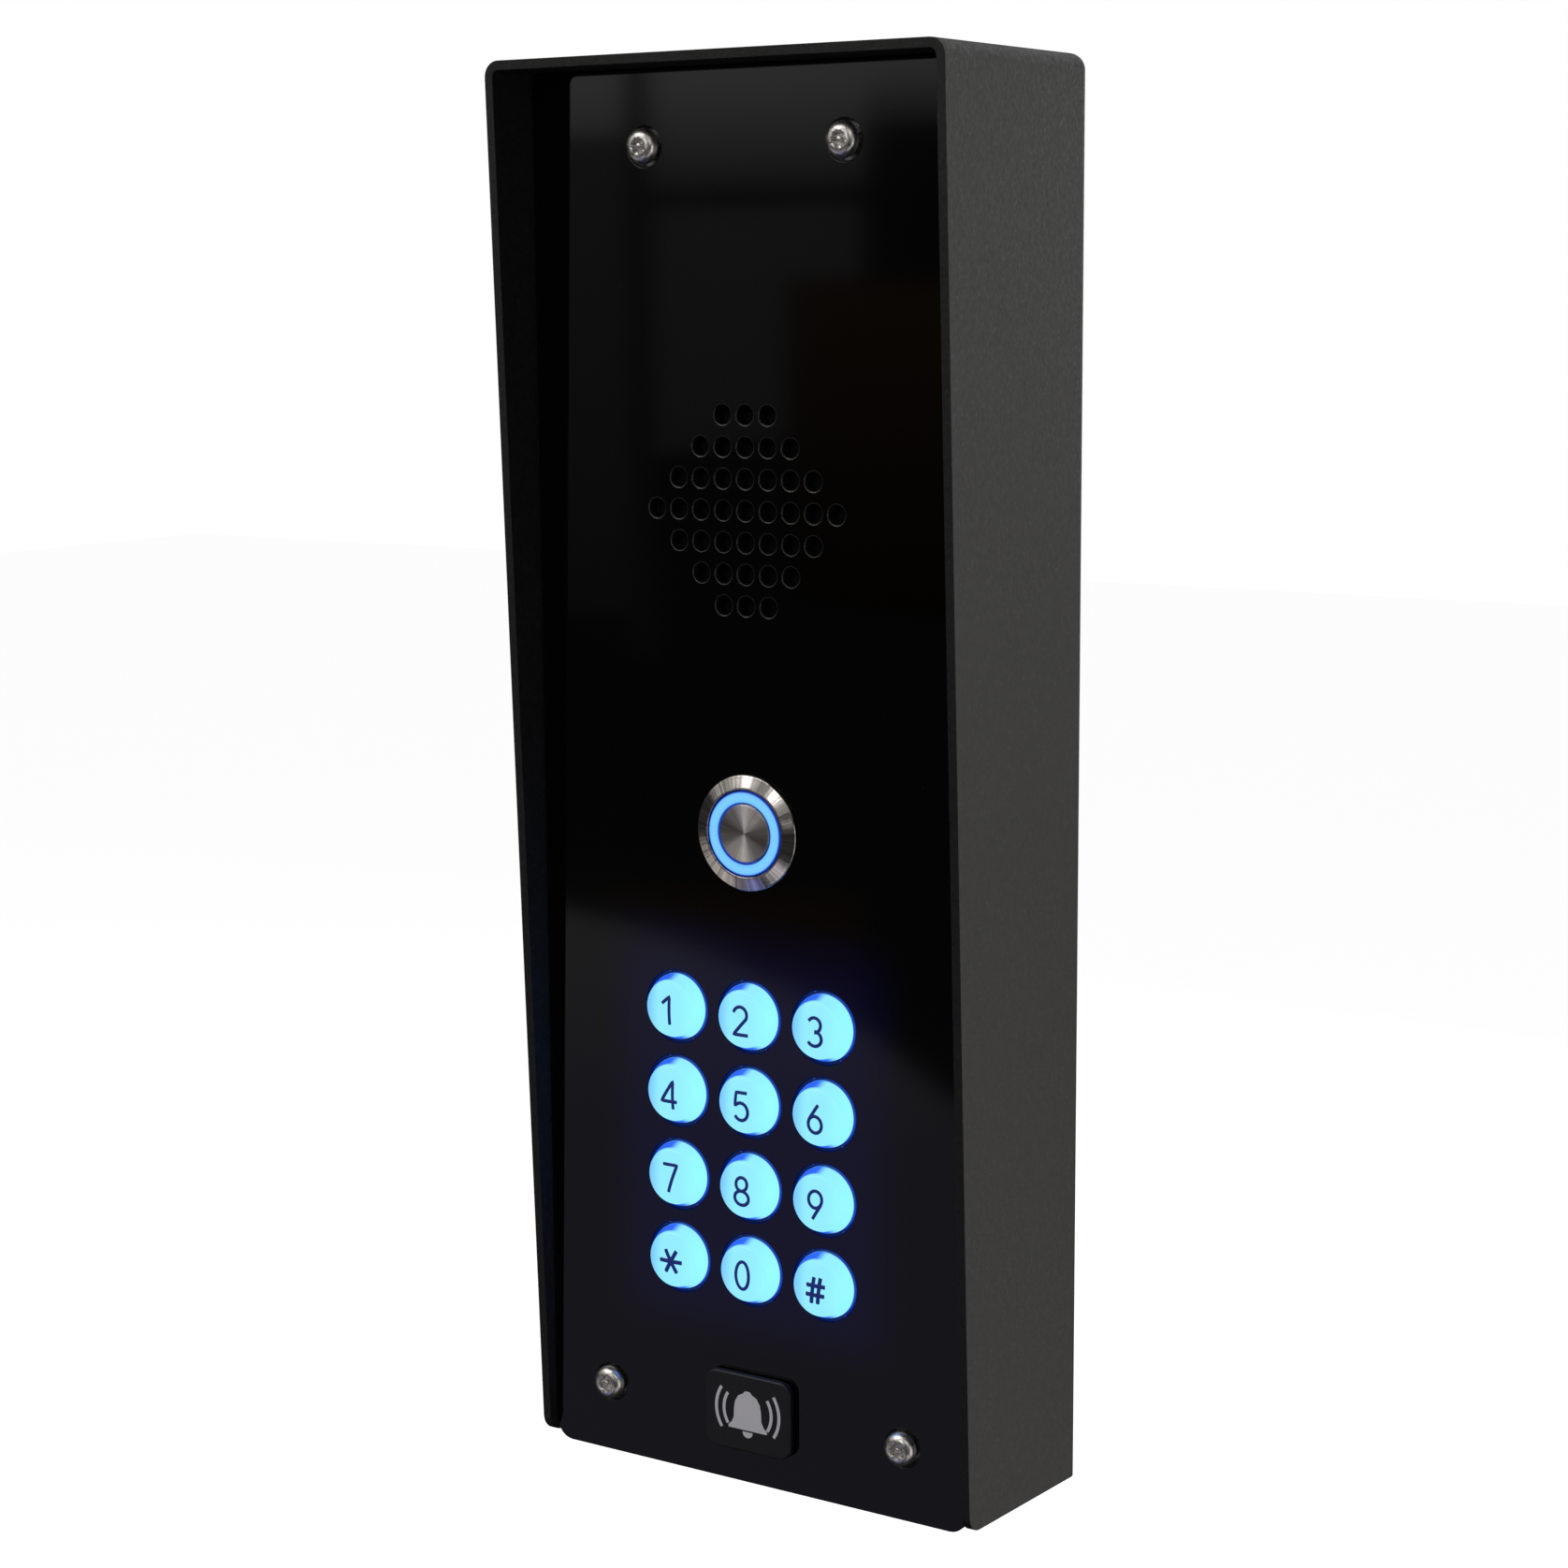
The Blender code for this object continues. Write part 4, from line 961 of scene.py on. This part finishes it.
def emitter(name, top, base, z_top, z_base):
    """A glow whose colour runs from one height to another."""
    mat = bpy.data.materials.new(name)
    mat.use_nodes = True
    tree = mat.node_tree
    tree.nodes.clear()
    place = tree.nodes.new("ShaderNodeTexCoord")
    split = tree.nodes.new("ShaderNodeSeparateXYZ")
    share = tree.nodes.new("ShaderNodeMapRange")
    mix = tree.nodes.new("ShaderNodeMix")
    glow = tree.nodes.new("ShaderNodeEmission")
    out = tree.nodes.new("ShaderNodeOutputMaterial")
    mix.data_type = "RGBA"
    share.inputs["From Min"].default_value = z_base
    share.inputs["From Max"].default_value = z_top
    mix.inputs[6].default_value = (*base, 1)
    mix.inputs[7].default_value = (*top, 1)
    tree.links.new(place.outputs["Object"], split.inputs[0])
    tree.links.new(split.outputs["Z"], share.inputs["Value"])
    tree.links.new(share.outputs["Result"], mix.inputs["Factor"])
    tree.links.new(mix.outputs[2], glow.inputs["Color"])
    tree.links.new(glow.outputs[0], out.inputs["Surface"])
    return mat


def wall_card(name, points, top, base=None, y=-1.6, span=None):
    """A flat panel in the room, given as (x, z) corners, that only reflections see."""
    heights = [z for x, z in points]
    z_base, z_top = span or (min(heights), max(heights))
    mesh = bpy.data.meshes.new(name)
    mesh.from_pydata([(x, y, z) for x, z in points], [], [tuple(range(len(points)))])
    mesh.materials.append(emitter(name, top, base or top, z_top, z_base))
    obj = link(bpy.data.objects.new(name, mesh))
    obj.visible_camera = False
    obj.visible_diffuse = False
    obj.visible_shadow = False
    return obj


def tint(colour, strength):
    return tuple(c * strength for c in colour)


def rectangle(left, right, low, high):
    return [(left, low), (right, low), (right, high), (left, high)]


def room():
    """What the gloss front and the steel mirror: ceiling, window, timber, table, lamps, walls."""
    grey = (1.0, 0.965, 0.985)
    timber = (1.0, 0.68, 0.40)
    table = (0.90, 0.86, 1.12)
    lamp = (1.0, 0.98, 0.95)
    wall_card("room_ceiling", rectangle(-2.6, 0.0, 0.268, 0.5),
              tint(grey, 0.58))
    wall_card("room_ceiling_fade", rectangle(-2.6, -0.935, 0.178, 0.2682),
              tint(grey, 0.60), tint(grey, 0.115), -1.601)
    wall_card("room_post", rectangle(-1.163, -1.138, -0.2, 0.5),
              tint(grey, 0.16), tint(grey, 0.05), -1.598, (0.20, 0.40))
    wall_card("room_ceiling_end", rectangle(-0.9352, 0.0, 0.222, 0.2682),
              tint(grey, 0.56), tint(grey, 0.04), -1.601)
    wall_card("room_left_panel", rectangle(-1.9, -1.163, -0.17, 0.225),
              tint(grey, 0.13), tint(grey, 0.06))
    wall_card("room_window", [(-1.138, -0.034), (-1.008, -0.018), (-1.008, 0.108),
                              (-0.938, 0.108), (-0.938, 0.166), (-1.138, 0.166)],
              tint(grey, 0.155), tint(grey, 0.11))
    wall_card("room_timber", [(-1.006, -0.150), (-0.30, -0.19), (-0.30, 0.106),
                              (-1.006, 0.106)], tint(timber, 0.075), tint(timber, 0.012))
    wall_card("room_table", [(-1.9, -0.36), (-1.239, -0.427), (-1.126, -0.438),
                             (-1.004, -0.472), (-0.932, -0.498), (-0.80, -0.575), (-0.80, -2.6),
                             (-2.2, -2.6)], tint(grey, 0.30), tint(table, 0.205),
              span=(-0.60, -0.42))
    wall_card("room_low_timber", [(-1.226, -0.405), (-0.94, -0.382), (-0.94, -0.49),
                                  (-1.004, -0.468), (-1.126, -0.434)], tint(timber, 0.06),
              y=-1.602)
    wall_card("lamp_high", rectangle(-1.22, -0.90, 0.62, 1.10),
              tint(lamp, 4.0))
    wall_card("lamp_left", rectangle(-1.56, -1.43, 0.66, 1.10),
              tint(lamp, 2.6))
    for step in range(3):
        low = 0.12 + 0.09 * step
        wall_card("slat_%d" % step, [(-0.30, low), (0.0, low + 0.02), (0.0, low + 0.07),
                                     (-0.30, low + 0.05)], tint(lamp, 0.9))
    wall_card("shelf_edge", rectangle(-0.16, 0.20, -0.06, 0.02),
              tint(lamp, 0.8))
    wall_card("lamp_right", rectangle(-0.34, -0.13, 0.36, 0.66),
              tint(lamp, 5.5))
    wall_card("high_wall", rectangle(-2.1, -0.10, 0.66, 1.3),
              tint(lamp, 0.50), y=-1.605)
    wall_card("high_ceiling", [(-2.6, 1.3), (-0.30, 1.3), (0.20, 3.4), (-3.9, 3.4)],
              tint(lamp, 2.2), y=-1.605)
    wall_card("high_left", [(-3.6, 1.3), (-1.25, 1.3), (-1.15, 2.8), (-3.6, 2.8)],
              tint(lamp, 3.0), y=-1.603)
    wall_card("left_shelf", rectangle(-3.6, -1.75, 0.50, 0.85),
              tint(lamp, 0.34), y=-1.603)
    wall_card("table_right", rectangle(-0.62, -0.12, -1.30, -0.74),
              tint((0.95, 0.92, 1.0), 0.75))
    wall_card("table_glow", rectangle(-1.42, -0.85, -2.5, -1.38),
              tint((0.45, 0.50, 1.20), 0.62), y=-1.598)
    wall_card("left_wall", rectangle(-4.8, -2.2, 0.85, 2.2),
              tint((1.0, 0.95, 0.90), 0.40))
    wall_card("left_low", rectangle(-4.8, -2.2, -2.8, -1.10),
              tint((1.0, 0.95, 0.90), 0.62))
    wall_card("right_wall", rectangle(0.42, 1.9, 0.55, 1.9),
              tint(lamp, 0.9))
    wall_card("right_low", rectangle(0.35, 1.9, -2.2, -1.05),
              tint(lamp, 0.6))
    screen = wall_card("right_screen", rectangle(-0.45, 0.45, -1.2, 0.3),
                       tint(lamp, 1.1), y=0.0)
    screen.location = (1.6, -0.85, 0.0)
    screen.rotation_euler = (0, 0, math.radians(90))


def area(name, place, target, size, power, colour=(1, 1, 1), glossy=True, diffuse=True):
    data = bpy.data.lights.new(name, "AREA")
    data.shape = "RECTANGLE"
    data.size, data.size_y = size
    data.energy = power
    data.color = colour
    obj = link(bpy.data.objects.new(name, data))
    obj.location = place
    obj.rotation_euler = (Vector(target) - Vector(place)).to_track_quat("-Z", "Y").to_euler()
    obj.visible_camera = False
    obj.visible_glossy = glossy
    obj.visible_diffuse = diffuse
    return obj


def world():
    """White to the eye, dim to the object."""
    back = bpy.data.worlds.new("studio")
    back.use_nodes = True
    SCENE.world = back
    tree = back.node_tree
    tree.nodes.clear()
    path = tree.nodes.new("ShaderNodeLightPath")
    seen = tree.nodes.new("ShaderNodeBackground")
    seen.inputs["Color"].default_value = (1, 1, 1, 1)
    felt = tree.nodes.new("ShaderNodeBackground")
    felt.inputs["Color"].default_value = (0.028, 0.027, 0.028, 1)
    mix = tree.nodes.new("ShaderNodeMixShader")
    out = tree.nodes.new("ShaderNodeOutputWorld")
    tree.links.new(path.outputs["Is Camera Ray"], mix.inputs["Fac"])
    tree.links.new(felt.outputs[0], mix.inputs[1])
    tree.links.new(seen.outputs[0], mix.inputs[2])
    tree.links.new(mix.outputs[0], out.inputs["Surface"])


def floor():
    """Pale self-lit studio floor, well below a panel that hangs on a wall."""
    bm = bmesh.new()
    bmesh.ops.create_grid(bm, x_segments=8, y_segments=8, size=6.0)
    look = Look("pale_floor", (0.92, 0.92, 0.92), 0.7)
    soft = look.noise(3, 3.0, 0.5)
    look.set("Base Color", look.blend(look.remap(soft, 0.3, 0.7, 0.0, 1.0), (0.92, 0.92, 0.92),
                                      (0.90, 0.90, 0.90)))
    look.shader.inputs["Emission Color"].default_value = (1, 1, 1, 1)
    look.shader.inputs["Emission Strength"].default_value = 0.95
    ground = settle("studio_floor", bm, look.mat, (0, 0, SHELL_LOW.z - 0.45))
    ground.visible_glossy = False
    ground.visible_diffuse = False


def lights():
    area("side_light", (1.5, 0.85, -0.40), (0.056, -0.02, 0.0), (1.0, 1.5), 13.6,
         (1.0, 0.985, 0.96))
    area("top_light", (0.1, 0.25, 1.6), (0, 0, 0.1), (1.4, 1.0), 0.7, (1.0, 0.99, 0.97))
    area("left_fill", (-1.2, -1.0, -0.8), (0, -0.03, 0), (1.0, 1.2), 0.8, glossy=False)
    area("back_light", (0.2, 1.7, 0.6), (0, 0, 0), (1.6, 1.4), 10)


def camera():
    """Level with the upper part of the panel, 0.66 m away and to its right."""
    data = bpy.data.cameras.new("camera")
    data.lens = 71.49
    data.sensor_width = 36.0
    data.clip_start = 0.01
    cam = link(bpy.data.objects.new("camera", data))
    cam.location = (0.3639, FRONT - 0.5387, 0.1067)
    cam.rotation_euler = (1.410422, 0.006361, 0.581196)
    SCENE.camera = cam


# ------------------------------------------------------------------ assembly

def repaint(mat, *names):
    for name in names:
        obj = NODES[name]
        obj.data.materials.clear()
        obj.data.materials.append(mat)


def build():
    SCENE.view_settings.view_transform = "Standard"
    world()
    room()
    floor()
    lights()
    camera()

    coat = powder_coat()
    housing(coat)
    fascia(gloss_acrylic())
    badge(moulded("badge_satin", (0.029, 0.028, 0.037), 0.5, 2200.0), badge_ink())
    panel_screws(plain_metal("screw_steel", (0.82, 0.80, 0.77), 0.30, (1, 1, 1), 2.5))
    call_button(turned_steel("bezel_steel", (0.56, 0.53, 0.50), 0.18, 0.6, 13.0, 0.5),
                turned_steel("cap_steel", (0.58, 0.55, 0.52), 0.40, 1.0, 7.0, 0.16), ring_lens())
    keys()

    zinc = plain_metal("zinc_sheet", (0.45, 0.45, 0.46), 0.4, (1, 1, 0.05))
    brass = plain_metal("machined_brass", (0.60, 0.45, 0.20), 0.32, (1, 8, 1))
    rubber = moulded("black_rubber_look", (0.014, 0.014, 0.014), 0.8, 1500.0, 0.00004)
    foam = moulded("black_foam", (0.016, 0.016, 0.017), 0.95, 900.0, 0.00015)
    dark = moulded("dark_plastic_look", (0.020, 0.020, 0.022), 0.5)
    green = moulded("terminal_green_look", (0.03, 0.25, 0.08), 0.42)
    blue = moulded("relay_blue_look", (0.02, 0.07, 0.30), 0.30)
    tin = plain_metal("tinned_can_look", (0.62, 0.62, 0.60), 0.28, (1, 1, 0.2))
    magnet = plain_metal("magnet_cup", (0.22, 0.22, 0.23), 0.45)
    repaint(zinc, "backing_plate", "speaker_frame")
    repaint(brass, "call_nut", *four("board_standoff"), *four("keypad_post"))
    repaint(rubber, "cable_grommet", "call_seal", "microphone_boot")
    repaint(foam, "panel_gasket")
    repaint(dark, "call_base", "keypad_ribbon", "speaker_clamp", "processor")
    repaint(green, "power_terminals", "lock_terminals")
    repaint(blue, "lock_relay")
    repaint(tin, "radio_module", "microphone_capsule")
    repaint(magnet, "speaker_magnet")
    repaint(moulded("cone_paper_look", (0.028, 0.028, 0.028), 0.9, 600.0, 0.0001), "speaker_cone")
    repaint(woven("acoustic_cloth_look", (0.006, 0.006, 0.007), 0.0005), "speaker_mesh")
    repaint(moulded("silicone_look", (0.35, 0.36, 0.38), 0.65, 900.0), "key_mat")
    board = circuit_board("board_look", (0.012, 0.085, 0.035), (0.03, 0.16, 0.06))
    repaint(board, "main_board", "keypad_board")
    spring = plain_metal("spring_wire", (0.55, 0.54, 0.52), 0.22)
    call_spring(spring)
    repaint(spring, *four("board_screw"))


build()

bpy.context.view_layer.update()
